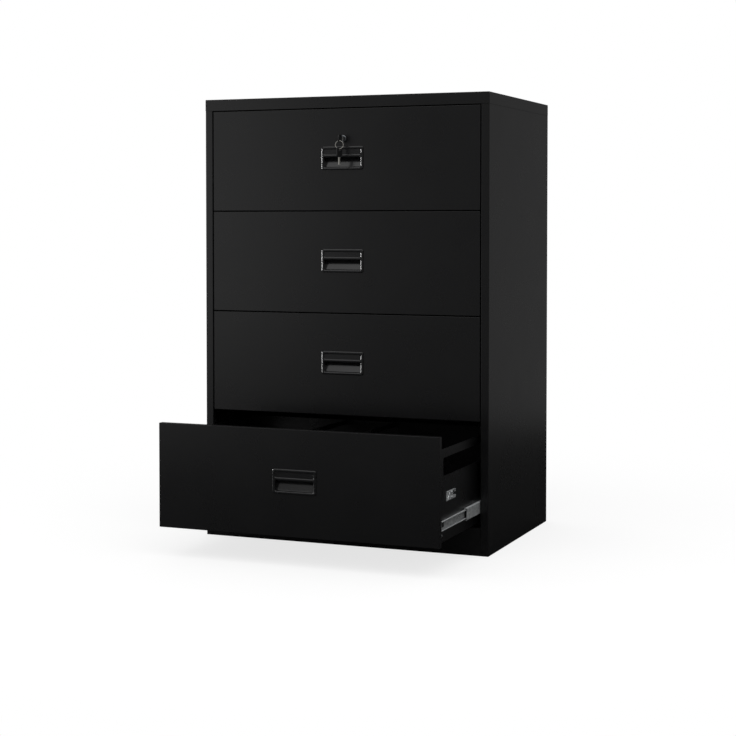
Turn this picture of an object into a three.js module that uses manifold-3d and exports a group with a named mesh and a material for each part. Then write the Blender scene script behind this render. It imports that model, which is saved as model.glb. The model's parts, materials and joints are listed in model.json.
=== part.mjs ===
// A lateral filing cabinet with four drawers, in black powder-coated sheet steel.
// Millimetres, +Z up, +X to the right. The drawers open towards -Y.
// The origin is the centre of the footprint, on the floor.
//
// Inside the cabinet group every y is a distance behind the plane of the drawer fronts,
// and inside a drawer group every z is a height above the lower edge of that drawer's front.

import * as THREE from "three";
import { mergeVertices } from "three/addons/utils/BufferGeometryUtils.js";
import Module from "manifold-3d";

const wasm = await Module();
wasm.setup();

// Shell
const WIDTH = 900;
const DEPTH = 600;
const HEIGHT = 1320;
const SHEET = 1.2; // sheet steel of the shell and the drawer fronts
const FIT = 0.3; // gap between pieces that seat on each other
const LID_LIP = 0.5; // how far the lid stands proud of the body on every side
const LID_SKIRT = 34; // folded edge of the lid, seen as the rail above the drawers
const LID_RETURN = 16; // inward fold along the foot of the skirt
const PLINTH = 81;
const PLINTH_RETURN = 20; // backward fold along the top of the plinth
const STILE = 24; // front face of a side panel
const STILE_RETURN = 20; // fold that lines the drawer opening
const PANEL_FLANGE = 18; // fold at the rear of a side panel
const BASE_UPSTAND = 25;

// Uprights that carry the slides
const POST_SHEET = 1.5;
const POST_WIDTH = 40;
const REAR_POST_BACK = 59; // from the rear upright to the back face

// Drawer fronts
const DRAWER_COUNT = 4;
const REVEAL = 3; // gap round every front
const FRONT_DEPTH = 18;
const FRONT_LIP = 14; // fold round the back of a front
const OPEN_AT_REST = 340; // how far the lowest drawer stands open

// Drawer tubs
const TUB_SHEET = 1;
const TUB_RISE = 6; // floor of the tub above the front's lower edge
const TUB_DROP = 39.5; // rim of the tub below the front's upper edge
const TUB_BACK = 36; // from the tub to the back face
const RIM_DEPTH = 9; // folded rim of the tub
const RIM_THICK = 2.5;
const WINDOW_START = 62;
const WINDOW_BACK = 82; // from the window to the rear of the tub
const WINDOW_DROP = 24; // window below the rim
const WINDOW_HEIGHT = 49;

// Hanging frame for suspension files
const RAIL_SPAN = 330; // from the rim of the tub to the rail
const RAIL_THICK = 3;
const RAIL_HEIGHT = 14;
const END_PLATE = 1.5;
const END_PLATE_HEIGHT = 40;
const END_PLATE_MARGIN = 12; // end plate beyond each rail
const END_PLATE_DROP = 2; // end plate below the top of the rails

// Ball-bearing slides with three members
const SLIDE_SETBACK = 60; // front ends of the outer and middle members
const SLIDE_BACK = 39; // from the outer member to the back face
const INNER_SETBACK = 30; // front end of the member on the tub
const MIDDLE_SHORT = 10; // by how much the middle member is shorter than the outer one
const SLIDE_RISE = 54; // centre line above the front's lower edge
const SLIDE_HEIGHT = 45;
const SLIDE_THICK = 12.7;
const SLIDE_SIDE_GAP = 1; // from the opening's edge to the back of the outer member
const SLIDE_STRIP = 1.2; // strip steel of the members
const OUTER_RACE = 3.7; // ball row in the edge of the outer member
const MIDDLE_RACE = 3; // ball row in the edge of the middle member
const SLIDE_RUN = 0.4; // running gap above and below a member
const SLIDE_STEP = 0.9; // gap between the webs and tips of nested members

// Handle with a label recess above a finger cup
const HANDLE_WIDTH = 132;
const HANDLE_HEIGHT = 68.7;
const HANDLE_RADIUS = 6;
const HANDLE_PROUD = 3.5;
const HANDLE_BEVEL = 2.6;
const HANDLE_RISE = 4.5; // centre above the middle of the front
const HANDLE_SIDE_BAR = 8;
const HANDLE_TOP_BAR = 8.8;
const HANDLE_FOOT_BAR = 7.3;
const HANDLE_DIVIDER = 8.2;
const HANDLE_WALL = 2;
const LABEL_HEIGHT = 14.7;
const LABEL_DEPTH = 2;
const CUP_DEPTH = 24;
const CUP_SILL = 4; // level part of the cup floor behind the front
const CUP_HEADROOM = 17; // cup above its mouth, behind the divider
const DIVIDER_BACK = 3; // rear of the divider behind the front

// Lock
const LOCK_X = 3;
const LOCK_RISE = 21.4; // lock axis above the handle
const COLLAR_RADIUS = 10.8;
const COLLAR_PROUD = 6;
const COLLAR_BEVEL = 1.6;
const BARREL_RADIUS = 9;
const BARREL_DEPTH = 9;
const PLUG_RADIUS = 6;
const PLUG_PLAY = 0.3;
const CAM_THICK = 2;
const CAM_WIDTH = 8;
const PIN_RADIUS = 2;

// Lock rod and interlock bar
const ROD_THROW = 15; // travel of the rod over a quarter turn of the key
const ROD_HEIGHT = 10;
const ROD_THICK = 2.5;
const ROD_HEAD_MARGIN = 4.5; // plate round the slot for the pin
const PIN_PLAY = 0.6; // the pin runs on an arc, the rod in a straight line
const ROD_PLAY = 0.8; // room round the rod in the stile
const BAR_THICK = 2;
const BAR_WIDTH = 14;
const BAR_LIFT = 6;
const BAR_END = 20; // bar beyond its lowest finger
const ARM_HEIGHT = 16;
const ARM_BLOCK = 9; // depth of the wedge that the rod lifts
const ARM_NOSE = 8; // level end of the wedge
const FINGER = 6; // square section of a finger

// Interlock lugs on the tubs
const LUG_START = 84;
const LUG_LENGTH = 74;
const LUG_HEIGHT = 25;
const LUG_RISE = 126.5;
const LUG_THICK = 2;
const LUG_HOOK = 8; // lip behind which a finger is caught
const LUG_POCKET = 13;
const LUG_SLOT_WIDTH = 4;
const LUG_SLOT_LENGTH = 26;
const LUG_SLOT_START = 16; // front of the lug to the middle of the diagonal slot
const FINGER_PLAY = 1.2; // room round a finger in its lug and its slot

// Keys and ring
const KEY_BLADE_THICK = 2;
const KEY_BLADE_HEIGHT = 7.6;
const KEY_INSERTED = 10; // blade inside the plug
const KEY_NECK = 6; // bare blade between the plug and the head
const KEYWAY_PLAY = 0.35;
const HEAD_LENGTH = 26;
const HEAD_HEIGHT = 21;
const HEAD_THICK = 3.6;
const HEAD_RADIUS = 7;
const HEAD_HOLE = 4.6; // radius
const HEAD_HOLE_END = 7.5; // hole centre to the end of the head
const HEAD_HOLE_DROP = 4.5; // hole centre below the key's axis
const RING_RADIUS = 11.5; // to the middle of the wire
const RING_WIRE = 0.9; // radius
const RING_TURN = 24; // degrees, ring plane from the plane of the fronts
const RING_PLAY = 1; // wire to the edge of a key's hole
const SPARE_TURN = 76; // degrees, spare key from the plane of the fronts
const SPARE_HEAD_LENGTH = 29;
const SPARE_HEAD_WIDTH = 25;
const SPARE_BLADE_LENGTH = 22;

// Derived layout
const OVERCUT = 1; // how far a cutting shape passes the face it opens
const bodyHalf = WIDTH / 2 - LID_LIP;
const bodyDepth = DEPTH - 2 * LID_LIP;
const bodyTop = HEIGHT - LID_SKIRT - FIT;
const rearFlange = bodyDepth - 2 * SHEET - FIT;
const openingHalf = WIDTH / 2 - STILE;
const frontHalf = openingHalf - REVEAL;
const frontHeight = (HEIGHT - LID_SKIRT - PLINTH - REVEAL * (DRAWER_COUNT + 1)) / DRAWER_COUNT;
const pitch = frontHeight + REVEAL;

const slideBack = openingHalf - SLIDE_SIDE_GAP;
const slideFace = slideBack - SLIDE_THICK;
const outerHalf = SLIDE_HEIGHT / 2;
const middleHalf = outerHalf - SLIDE_STRIP - OUTER_RACE - SLIDE_RUN;
const innerHalf = middleHalf - SLIDE_STRIP - MIDDLE_RACE - SLIDE_RUN;
const slideLength = bodyDepth - SLIDE_SETBACK - SLIDE_BACK;
const postFace = slideBack + FIT;
const postOuter = bodyHalf - 2 * SHEET - 2 * FIT;

const tubHalf = slideFace - FIT;
const tubFront = FRONT_DEPTH + FIT;
const tubRear = bodyDepth - TUB_BACK;
const tubRim = frontHeight - TUB_DROP;
const railX = tubHalf - RAIL_SPAN;

const handleMiddle = frontHeight / 2 + HANDLE_RISE;
const cupFloor = -HANDLE_HEIGHT / 2 + HANDLE_FOOT_BAR;
const labelTop = HANDLE_HEIGHT / 2 - HANDLE_TOP_BAR;
const cupMouth = labelTop - LABEL_HEIGHT - HANDLE_DIVIDER;
const cupTop = cupMouth + CUP_HEADROOM;
const cupHalf = HANDLE_WIDTH / 2 - HANDLE_SIDE_BAR;
const shell = {
  half: cupHalf + HANDLE_WALL,
  low: cupFloor - HANDLE_WALL,
  high: cupTop + HANDLE_WALL,
};

const lockHeight = handleMiddle + HANDLE_HEIGHT / 2 + LOCK_RISE;
const crank = ROD_THROW / Math.SQRT2;
const camFront = BARREL_DEPTH + FIT;
const rodFront = camFront + CAM_THICK + FIT;
const rodMiddle = (crank + crank / Math.SQRT2) / 2;
const rodTip = frontHalf - FIT;
const rodTop = lockHeight + rodMiddle + ROD_HEIGHT / 2;

const fingerMiddle = LUG_START + LUG_LENGTH - LUG_HOOK - LUG_POCKET / 2;
const frontPostStart = fingerMiddle - POST_WIDTH / 2;
const rearPostStart = bodyDepth - REAR_POST_BACK - POST_WIDTH;
const barFace = postFace + POST_SHEET + FIT;
const armFace = openingHalf + SHEET + OVERCUT;
const fingerTip = slideFace + LUG_THICK / 2;

const headFront = -COLLAR_PROUD - KEY_NECK;
const ringY = headFront - HEAD_LENGTH + HEAD_HOLE_END;
const ringTop = -HEAD_HOLE_DROP - HEAD_HOLE + RING_WIRE + RING_PLAY;
const ringBottom = ringTop - 2 * RING_RADIUS;

// Height of a drawer front's lower edge, with drawer 1 at the top.
const drawerHeight = (number) => PLINTH + REVEAL + (DRAWER_COUNT - number) * pitch;
const opening = (number) => (number === DRAWER_COUNT ? OPEN_AT_REST : 0);
const numbers = Array.from({ length: DRAWER_COUNT }, (_, index) => index + 1);

// Solid helpers

function solid(geometry) {
  const bare = geometry.clone();
  bare.deleteAttribute("normal");
  bare.deleteAttribute("uv");
  const merged = mergeVertices(bare);
  return new wasm.Manifold(new wasm.Mesh({
    numProp: 3,
    vertProperties: merged.attributes.position.array,
    triVerts: new Uint32Array(merged.index.array),
  }));
}

function block(x, y, z) {
  const box = new THREE.BoxGeometry(x[1] - x[0], y[1] - y[0], z[1] - z[0]);
  box.translate((x[0] + x[1]) / 2, (y[0] + y[1]) / 2, (z[0] + z[1]) / 2);
  return solid(box);
}

function join(...pieces) {
  return pieces.reduce((whole, piece) => whole.add(piece));
}

// Round bar along y.
function bar(radius, y, segments, x = 0, z = 0) {
  const cylinder = new THREE.CylinderGeometry(radius, radius, y[1] - y[0], segments);
  return solid(cylinder.translate(x, (y[0] + y[1]) / 2, z));
}

// Outline given in x and z, drawn out along y.
function alongY(shape, y, options = {}) {
  const settings = { depth: y[1] - y[0], bevelEnabled: false, curveSegments: 6, ...options };
  const geometry = new THREE.ExtrudeGeometry(shape, settings);
  return geometry.rotateX(Math.PI / 2).translate(0, y[1], 0);
}

// Outline given in y and z, drawn out along x.
function alongX(shape, x) {
  const settings = { depth: x[1] - x[0], bevelEnabled: false, curveSegments: 8 };
  const turn = new THREE.Matrix4().makeBasis(
    new THREE.Vector3(0, 1, 0),
    new THREE.Vector3(0, 0, 1),
    new THREE.Vector3(1, 0, 0),
  );
  return new THREE.ExtrudeGeometry(shape, settings).applyMatrix4(turn).translate(x[0], 0, 0);
}

function polygon(points) {
  return new THREE.Shape(points.map(([x, y]) => new THREE.Vector2(x, y)));
}

// Rectangle with round corners, between two corners.
function roundRectangle(left, low, right, high, radius) {
  const shape = new THREE.Shape();
  shape.moveTo(left + radius, low);
  shape.lineTo(right - radius, low);
  shape.absarc(right - radius, low + radius, radius, -Math.PI / 2, 0);
  shape.lineTo(right, high - radius);
  shape.absarc(right - radius, high - radius, radius, 0, Math.PI / 2);
  shape.lineTo(left + radius, high);
  shape.absarc(left + radius, high - radius, radius, Math.PI / 2, Math.PI);
  shape.lineTo(left, low + radius);
  shape.absarc(left + radius, low + radius, radius, Math.PI, Math.PI * 1.5);
  return shape;
}

function roundHole(x, y, radius) {
  const hole = new THREE.Path();
  hole.absarc(x, y, radius, 0, Math.PI * 2);
  return hole;
}

function piece(name, body, material) {
  const { vertProperties, triVerts } = body.getMesh();
  const geometry = new THREE.BufferGeometry();
  geometry.setAttribute("position", new THREE.BufferAttribute(vertProperties, 3));
  geometry.setIndex(new THREE.BufferAttribute(triVerts, 1));
  geometry.computeVertexNormals();
  const mesh = new THREE.Mesh(geometry, material);
  mesh.name = name;
  return mesh;
}

// Finishes

function finish(color, roughness, metalness) {
  return () => new THREE.MeshStandardMaterial({ color, roughness, metalness });
}

const powderCoat = finish(0x2b2b2d, 0.5, 0);
const zincPlate = finish(0xa9abad, 0.35, 1);
const mouldedPlastic = finish(0x38393b, 0.4, 0);
const chromePlate = finish(0xc8cacc, 0.12, 1);
const keyPlastic = finish(0x161617, 0.45, 0);
const springSteel = finish(0xb4b5b6, 0.25, 1);

// Shell pieces

// Right side panel, one folded sheet: web, front stile with its return, and a fold at the rear.
function sidePanel(hasKeeper) {
  const inner = bodyHalf - SHEET;
  const rearEdge = bodyHalf - PANEL_FLANGE;
  const profile = polygon([
    [bodyHalf, 0],
    [bodyHalf, bodyDepth],
    [inner, bodyDepth],
    [inner, rearFlange + SHEET],
    [rearEdge, rearFlange + SHEET],
    [rearEdge, rearFlange],
    [inner, rearFlange],
    [inner, SHEET],
    [openingHalf + SHEET, SHEET],
    [openingHalf + SHEET, STILE_RETURN],
    [openingHalf, STILE_RETURN],
    [openingHalf, 0],
  ]);
  const panel = solid(new THREE.ExtrudeGeometry(profile, { depth: bodyTop, bevelEnabled: false }));
  if (!hasKeeper) return panel;
  const rodLow = drawerHeight(1) + rodTop - ROD_HEIGHT;
  return panel.subtract(block(
    [openingHalf - OVERCUT, openingHalf + SHEET + OVERCUT],
    [rodFront - ROD_PLAY, rodFront + ROD_THICK + ROD_PLAY],
    [rodLow - ROD_PLAY, rodLow + ROD_HEIGHT + ROD_PLAY],
  ));
}

// Lid: a pan turned upside down, with its skirt folded in along the foot.
function topPanel() {
  const half = WIDTH / 2;
  const y = [-LID_LIP, bodyDepth + LID_LIP];
  const foot = HEIGHT - LID_SKIRT;
  const inset = (edge) => [[-half + edge, half - edge], [y[0] + edge, y[1] - edge]];
  return block([-half, half], y, [foot, HEIGHT])
    .subtract(block(...inset(SHEET), [foot + SHEET, HEIGHT - SHEET]))
    .subtract(block(...inset(LID_RETURN), [foot - OVERCUT, foot + 2 * SHEET]));
}

function backPanel() {
  const half = bodyHalf - SHEET - FIT;
  return block([-half, half], [bodyDepth - SHEET, bodyDepth], [0, bodyTop]);
}

// Base pan with upstands at the sides and rear, and the plinth folded up at the front.
function basePlinth() {
  const half = bodyHalf - SHEET - FIT;
  const plinthHalf = openingHalf - FIT;
  const panStart = STILE_RETURN + FIT;
  const panEnd = rearFlange - FIT;
  return join(
    block([-plinthHalf, plinthHalf], [0, SHEET], [0, PLINTH]),
    block([-plinthHalf, plinthHalf], [0, PLINTH_RETURN], [PLINTH - SHEET, PLINTH]),
    block([-plinthHalf, plinthHalf], [0, panStart + SHEET], [0, SHEET]),
    block([-half, half], [panStart, panEnd], [0, SHEET]),
    block([-half, -half + SHEET], [panStart, panEnd], [0, BASE_UPSTAND]),
    block([half - SHEET, half], [panStart, panEnd], [0, BASE_UPSTAND]),
    block([-half, half], [panEnd - SHEET, panEnd], [0, BASE_UPSTAND]),
  );
}

// Right upright: a channel with its web towards the drawers.
function post(start) {
  const height = [SHEET + FIT, bodyTop];
  const end = start + POST_WIDTH;
  return join(
    block([postFace, postFace + POST_SHEET], [start, end], height),
    block([postFace, postOuter], [start, start + POST_SHEET], height),
    block([postFace, postOuter], [end - POST_SHEET, end], height),
  );
}

// Front upright on the lock side, slotted for the fingers and the arm of the interlock bar.
function slottedPost() {
  const fingerReach = FINGER / 2 + FINGER_PLAY;
  const fingerSlot = (number) => {
    const middle = drawerHeight(number) + LUG_RISE;
    return block(
      [postFace - OVERCUT, postFace + POST_SHEET + OVERCUT],
      [fingerMiddle - fingerReach, fingerMiddle + fingerReach],
      [middle - fingerReach, middle + fingerReach + BAR_LIFT],
    );
  };
  const armLow = drawerHeight(1) + rodTop + FIT;
  const armSlot = block(
    [barFace - FIT, armFace + BAR_THICK + FINGER_PLAY],
    [frontPostStart - OVERCUT, frontPostStart + POST_SHEET + OVERCUT],
    [armLow - FINGER_PLAY, armLow + ARM_HEIGHT + BAR_LIFT + FINGER_PLAY],
  );
  return post(frontPostStart).subtract(join(armSlot, ...numbers.map(fingerSlot)));
}

// Bar behind the slotted upright. It has a finger for every lug, and an arm
// that ends in a wedge in the stile, where the tip of the lock rod lifts it.
function interlockBar() {
  const armLow = drawerHeight(1) + rodTop + FIT;
  const armHigh = armLow + ARM_HEIGHT;
  const reach = BAR_WIDTH / 2;
  const low = drawerHeight(DRAWER_COUNT) + LUG_RISE - BAR_END;
  const strip = block([barFace, barFace + BAR_THICK], [fingerMiddle - reach, fingerMiddle + reach], [low, armHigh]);
  const finger = (number) => {
    const middle = drawerHeight(number) + LUG_RISE;
    return block(
      [fingerTip, barFace + BAR_THICK],
      [fingerMiddle - FINGER / 2, fingerMiddle + FINGER / 2],
      [middle - FINGER / 2, middle + FINGER / 2],
    );
  };
  const wedgeMiddle = rodFront + ROD_THICK / 2;
  const wedgeEnd = rodTip + ROD_THROW;
  const wedge = alongY(polygon([
    [armFace, armLow],
    [wedgeEnd, armLow - BAR_LIFT],
    [wedgeEnd + ARM_NOSE, armLow - BAR_LIFT],
    [wedgeEnd + ARM_NOSE, armHigh],
    [armFace, armHigh],
  ]), [wedgeMiddle - ARM_BLOCK / 2, wedgeMiddle + ARM_BLOCK / 2]);
  const arm = block([armFace, armFace + BAR_THICK], [wedgeMiddle, fingerMiddle], [armLow, armHigh]);
  const bridge = block([barFace, armFace + BAR_THICK], [fingerMiddle - reach, fingerMiddle], [armLow, armHigh]);
  return join(strip, arm, bridge, solid(wedge), ...numbers.map(finger));
}

// Slide members, right side, about the slide's centre line

function channel(back, tip, half, flange) {
  const web = back + Math.sign(tip - back) * SLIDE_STRIP;
  return polygon([
    [back, -half],
    [tip, -half],
    [tip, -half + flange],
    [web, -half + flange],
    [web, half - flange],
    [tip, half - flange],
    [tip, half],
    [back, half],
  ]);
}

const memberTip = slideFace + SLIDE_STRIP + FIT;
const middleBack = slideBack - SLIDE_STRIP - SLIDE_STEP;

function outerMember() {
  const outline = channel(slideBack, memberTip, outerHalf, SLIDE_STRIP + OUTER_RACE);
  return solid(alongY(outline, [SLIDE_SETBACK, SLIDE_SETBACK + slideLength]));
}

function middleMember() {
  const outline = channel(middleBack, memberTip, middleHalf, SLIDE_STRIP + MIDDLE_RACE);
  return solid(alongY(outline, [SLIDE_SETBACK, SLIDE_SETBACK + slideLength - MIDDLE_SHORT]));
}

function innerMember() {
  const tip = middleBack - SLIDE_STRIP - SLIDE_STEP;
  const outline = channel(slideFace, tip, innerHalf, SLIDE_STRIP);
  return solid(alongY(outline, [INNER_SETBACK, INNER_SETBACK + slideLength]));
}

// Drawer pieces

// Front: a pan with its edges folded back and in, pierced for the handle.
function drawerFront() {
  const inset = (edge) => [[-frontHalf + edge, frontHalf - edge], [edge, frontHeight - edge]];
  const [innerX, innerZ] = inset(SHEET);
  const [lipX, lipZ] = inset(FRONT_LIP);
  return block([-frontHalf, frontHalf], [0, FRONT_DEPTH], [0, frontHeight])
    .subtract(block(innerX, [SHEET, FRONT_DEPTH - SHEET], innerZ))
    .subtract(block(lipX, [FRONT_DEPTH - 2 * SHEET, FRONT_DEPTH + OVERCUT], lipZ))
    .subtract(handlePassage([-OVERCUT, 2 * SHEET]));
}

// Opening that the shell of the handle passes through.
function handlePassage(y) {
  const half = shell.half + FIT;
  return block([-half, half], y, [handleMiddle + shell.low - FIT, handleMiddle + shell.high + FIT]);
}

// Front of the top drawer, with holes for the lock and for the end of the lock rod.
function lockableFront() {
  const rodLow = rodTop - ROD_HEIGHT;
  return drawerFront()
    .subtract(bar(BARREL_RADIUS + FIT, [-OVERCUT, 2 * SHEET], 32, LOCK_X, lockHeight))
    .subtract(block(
      [frontHalf - 2 * SHEET, frontHalf + OVERCUT],
      [rodFront - FIT, rodFront + ROD_THICK + FIT],
      [rodLow - FIT, rodLow + ROD_HEIGHT + FIT],
    ));
}

// Tub: floor and four walls with a thick folded rim, and a long window in each side.
function tub() {
  const inner = [-tubHalf + TUB_SHEET, tubHalf - TUB_SHEET];
  const rim = [-tubHalf + RIM_THICK, tubHalf - RIM_THICK];
  const rimLow = tubRim - RIM_DEPTH;
  const windowTop = tubRim - WINDOW_DROP;
  return block([-tubHalf, tubHalf], [tubFront, tubRear], [TUB_RISE, tubRim])
    .subtract(block(inner, [tubFront + TUB_SHEET, tubRear - TUB_SHEET], [TUB_RISE + TUB_SHEET, rimLow]))
    .subtract(block(
      rim,
      [tubFront + TUB_SHEET, tubRear - TUB_SHEET],
      [rimLow - OVERCUT, tubRim + OVERCUT],
    ))
    .subtract(block(
      [-tubHalf - OVERCUT, tubHalf + OVERCUT],
      [WINDOW_START, tubRear - WINDOW_BACK],
      [windowTop - WINDOW_HEIGHT, windowTop],
    ))
    .subtract(handlePassage([tubFront - OVERCUT, tubFront + 2 * TUB_SHEET]));
}

// Hanging frame: two rails from front to back, joined by a plate at each end.
function hangingFrame() {
  const front = tubFront + TUB_SHEET + FIT;
  const rear = tubRear - TUB_SHEET - FIT;
  const plateHalf = railX + END_PLATE_MARGIN;
  const plateTop = tubRim - END_PLATE_DROP;
  const plateLow = plateTop - END_PLATE_HEIGHT;
  const rail = (side) => {
    const middle = side * railX;
    const x = [middle - RAIL_THICK / 2, middle + RAIL_THICK / 2];
    const y = [front + END_PLATE / 2, rear - END_PLATE / 2];
    return block(x, y, [tubRim - RAIL_HEIGHT, tubRim]);
  };
  return join(
    block([-plateHalf, plateHalf], [front, front + END_PLATE], [plateLow, plateTop]),
    block([-plateHalf, plateHalf], [rear - END_PLATE, rear], [plateLow, plateTop]),
    rail(-1),
    rail(1),
  );
}

// Handle: a bezel on the face of the front, and a shell behind it that holds the finger cup.
function handle() {
  const half = HANDLE_WIDTH / 2 - HANDLE_BEVEL;
  const tall = HANDLE_HEIGHT / 2 - HANDLE_BEVEL;
  const radius = HANDLE_RADIUS - HANDLE_BEVEL;
  const bezel = solid(alongY(
    roundRectangle(-half, -tall, half, tall, radius),
    [-HANDLE_PROUD + HANDLE_BEVEL, 0],
    {
      bevelEnabled: true,
      bevelSize: HANDLE_BEVEL,
      bevelThickness: HANDLE_BEVEL,
      bevelSegments: 3,
      curveSegments: 4,
    },
  )).subtract(block(
    [-HANDLE_WIDTH, HANDLE_WIDTH],
    [-FIT, HANDLE_PROUD],
    [-HANDLE_HEIGHT, HANDLE_HEIGHT],
  ));
  const slope = (CUP_DEPTH - CUP_SILL) / (cupTop - cupFloor);
  const rear = CUP_DEPTH + HANDLE_WALL;
  const wall = HANDLE_WALL * Math.hypot(1, slope);
  const back = new THREE.Shape();
  back.moveTo(-2 * FIT, shell.low);
  back.lineTo(CUP_SILL + wall - HANDLE_WALL * slope, shell.low);
  back.lineTo(rear, cupFloor + (rear - CUP_SILL - wall) / slope);
  back.lineTo(rear, shell.high);
  back.lineTo(-2 * FIT, shell.high);
  const shellWedge = solid(alongX(back, [-shell.half, shell.half]));
  const label = block(
    [-cupHalf, cupHalf],
    [-HANDLE_PROUD - OVERCUT, -HANDLE_PROUD + LABEL_DEPTH],
    [labelTop - LABEL_HEIGHT, labelTop],
  );
  return join(bezel, shellWedge)
    .subtract(label)
    .subtract(fingerCup())
    .translate(0, 0, handleMiddle);
}

// Hollow of the finger cup: a mouth below the divider, a floor that slopes up, and room behind the divider.
function fingerCup() {
  const cup = new THREE.Shape();
  cup.moveTo(-HANDLE_PROUD - OVERCUT, cupFloor);
  cup.lineTo(CUP_SILL, cupFloor);
  cup.lineTo(CUP_DEPTH, cupTop);
  cup.lineTo(DIVIDER_BACK, cupTop);
  cup.lineTo(DIVIDER_BACK, cupMouth);
  cup.lineTo(-HANDLE_PROUD - OVERCUT, cupMouth);
  return solid(alongX(cup, [-cupHalf, cupHalf]));
}

// Lug on the right of a tub: a plate with a diagonal slot, and a hooked notch at the rear.
function interlockLug() {
  const low = LUG_RISE - LUG_HEIGHT / 2;
  const end = LUG_START + LUG_LENGTH;
  const reach = FINGER / 2 + FINGER_PLAY;
  const x = [slideFace, slideFace + LUG_THICK];
  const cutX = [slideFace - OVERCUT, slideFace + LUG_THICK + OVERCUT];
  const slot = new THREE.BoxGeometry(LUG_THICK + 2 * OVERCUT, LUG_SLOT_LENGTH, LUG_SLOT_WIDTH);
  slot.rotateX(Math.PI / 4);
  slot.translate(slideFace + LUG_THICK / 2, LUG_START + LUG_SLOT_START, LUG_RISE);
  return block(x, [LUG_START, end], [low, low + LUG_HEIGHT])
    .subtract(block(cutX, [end - LUG_HOOK - OVERCUT, end + OVERCUT], [LUG_RISE - reach, LUG_RISE + reach]))
    .subtract(block(
      cutX,
      [end - LUG_HOOK - LUG_POCKET, end - LUG_HOOK],
      [LUG_RISE - reach, LUG_RISE + reach + BAR_LIFT],
    ))
    .subtract(solid(slot));
}

// Lock pieces, about the lock's axis

function lockBarrel() {
  const bore = PLUG_RADIUS + PLUG_PLAY;
  const profile = [
    [bore, -COLLAR_PROUD],
    [COLLAR_RADIUS - COLLAR_BEVEL, -COLLAR_PROUD],
    [COLLAR_RADIUS, -COLLAR_PROUD + COLLAR_BEVEL],
    [COLLAR_RADIUS, -FIT],
    [BARREL_RADIUS, -FIT],
    [BARREL_RADIUS, BARREL_DEPTH],
    [bore, BARREL_DEPTH],
    [bore, -COLLAR_PROUD],
  ];
  return solid(new THREE.LatheGeometry(profile.map(([r, y]) => new THREE.Vector2(r, y)), 32));
}

// Plug with its keyway, the cam on its tail and the pin that drives the lock rod.
function lockPlug() {
  const keyway = block(
    [-KEY_BLADE_THICK / 2 - KEYWAY_PLAY, KEY_BLADE_THICK / 2 + KEYWAY_PLAY],
    [-COLLAR_PROUD - OVERCUT, -COLLAR_PROUD + KEY_INSERTED + KEYWAY_PLAY],
    [-KEY_BLADE_HEIGHT / 2 - KEYWAY_PLAY, KEY_BLADE_HEIGHT / 2 + KEYWAY_PLAY],
  );
  const camEnd = camFront + CAM_THICK;
  const arm = new THREE.BoxGeometry(CAM_WIDTH, CAM_THICK, crank + CAM_WIDTH / 2);
  arm.translate(0, camFront + CAM_THICK / 2, (crank + CAM_WIDTH / 2) / 2);
  arm.rotateY(-Math.PI / 4);
  const pinAt = crank / Math.SQRT2;
  return join(
    bar(PLUG_RADIUS, [-COLLAR_PROUD, camFront + CAM_THICK / 2], 24),
    bar(PLUG_RADIUS, [camFront, camEnd], 24),
    solid(arm),
    bar(PIN_RADIUS, [camFront, rodFront + ROD_THICK + FIT], 16, -pinAt, pinAt),
  ).subtract(keyway);
}

// Rod from the lock to the right edge of the front, with an upright slot for the pin.
function lockRod() {
  const pinX = -crank / Math.SQRT2;
  const slotHalf = PIN_RADIUS + PIN_PLAY;
  const slotLow = crank / Math.SQRT2 - slotHalf;
  const slotHigh = crank + slotHalf;
  const headHalf = slotHalf + ROD_HEAD_MARGIN;
  const y = [rodFront, rodFront + ROD_THICK];
  const low = rodMiddle - ROD_HEIGHT / 2;
  return join(
    block([pinX - headHalf, pinX + headHalf], y, [slotLow - ROD_HEAD_MARGIN, slotHigh + ROD_HEAD_MARGIN]),
    block([pinX, rodTip - LOCK_X], y, [low, low + ROD_HEIGHT]),
  ).subtract(block([pinX - slotHalf, pinX + slotHalf], [y[0] - OVERCUT, y[1] + OVERCUT], [slotLow, slotHigh]));
}

// Key in the lock, its flat head upright.
function key() {
  const headEnd = headFront - HEAD_LENGTH;
  const head = roundRectangle(headEnd, -HEAD_HEIGHT / 2, headFront, HEAD_HEIGHT / 2, HEAD_RADIUS);
  head.holes.push(roundHole(ringY, -HEAD_HOLE_DROP, HEAD_HOLE));
  const blade = block(
    [-KEY_BLADE_THICK / 2, KEY_BLADE_THICK / 2],
    [headFront - OVERCUT, -COLLAR_PROUD + KEY_INSERTED],
    [-KEY_BLADE_HEIGHT / 2, KEY_BLADE_HEIGHT / 2],
  );
  return join(solid(alongX(head, [-HEAD_THICK / 2, HEAD_THICK / 2])), blade);
}

// Ring through the hole of the key, turned about the upright line through its top.
function keyRing() {
  const ring = new THREE.TorusGeometry(RING_RADIUS, RING_WIRE, 8, 32);
  ring.rotateX(Math.PI / 2);
  ring.rotateZ(THREE.MathUtils.degToRad(RING_TURN));
  return solid(ring.translate(0, ringY, ringTop - RING_RADIUS));
}

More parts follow.
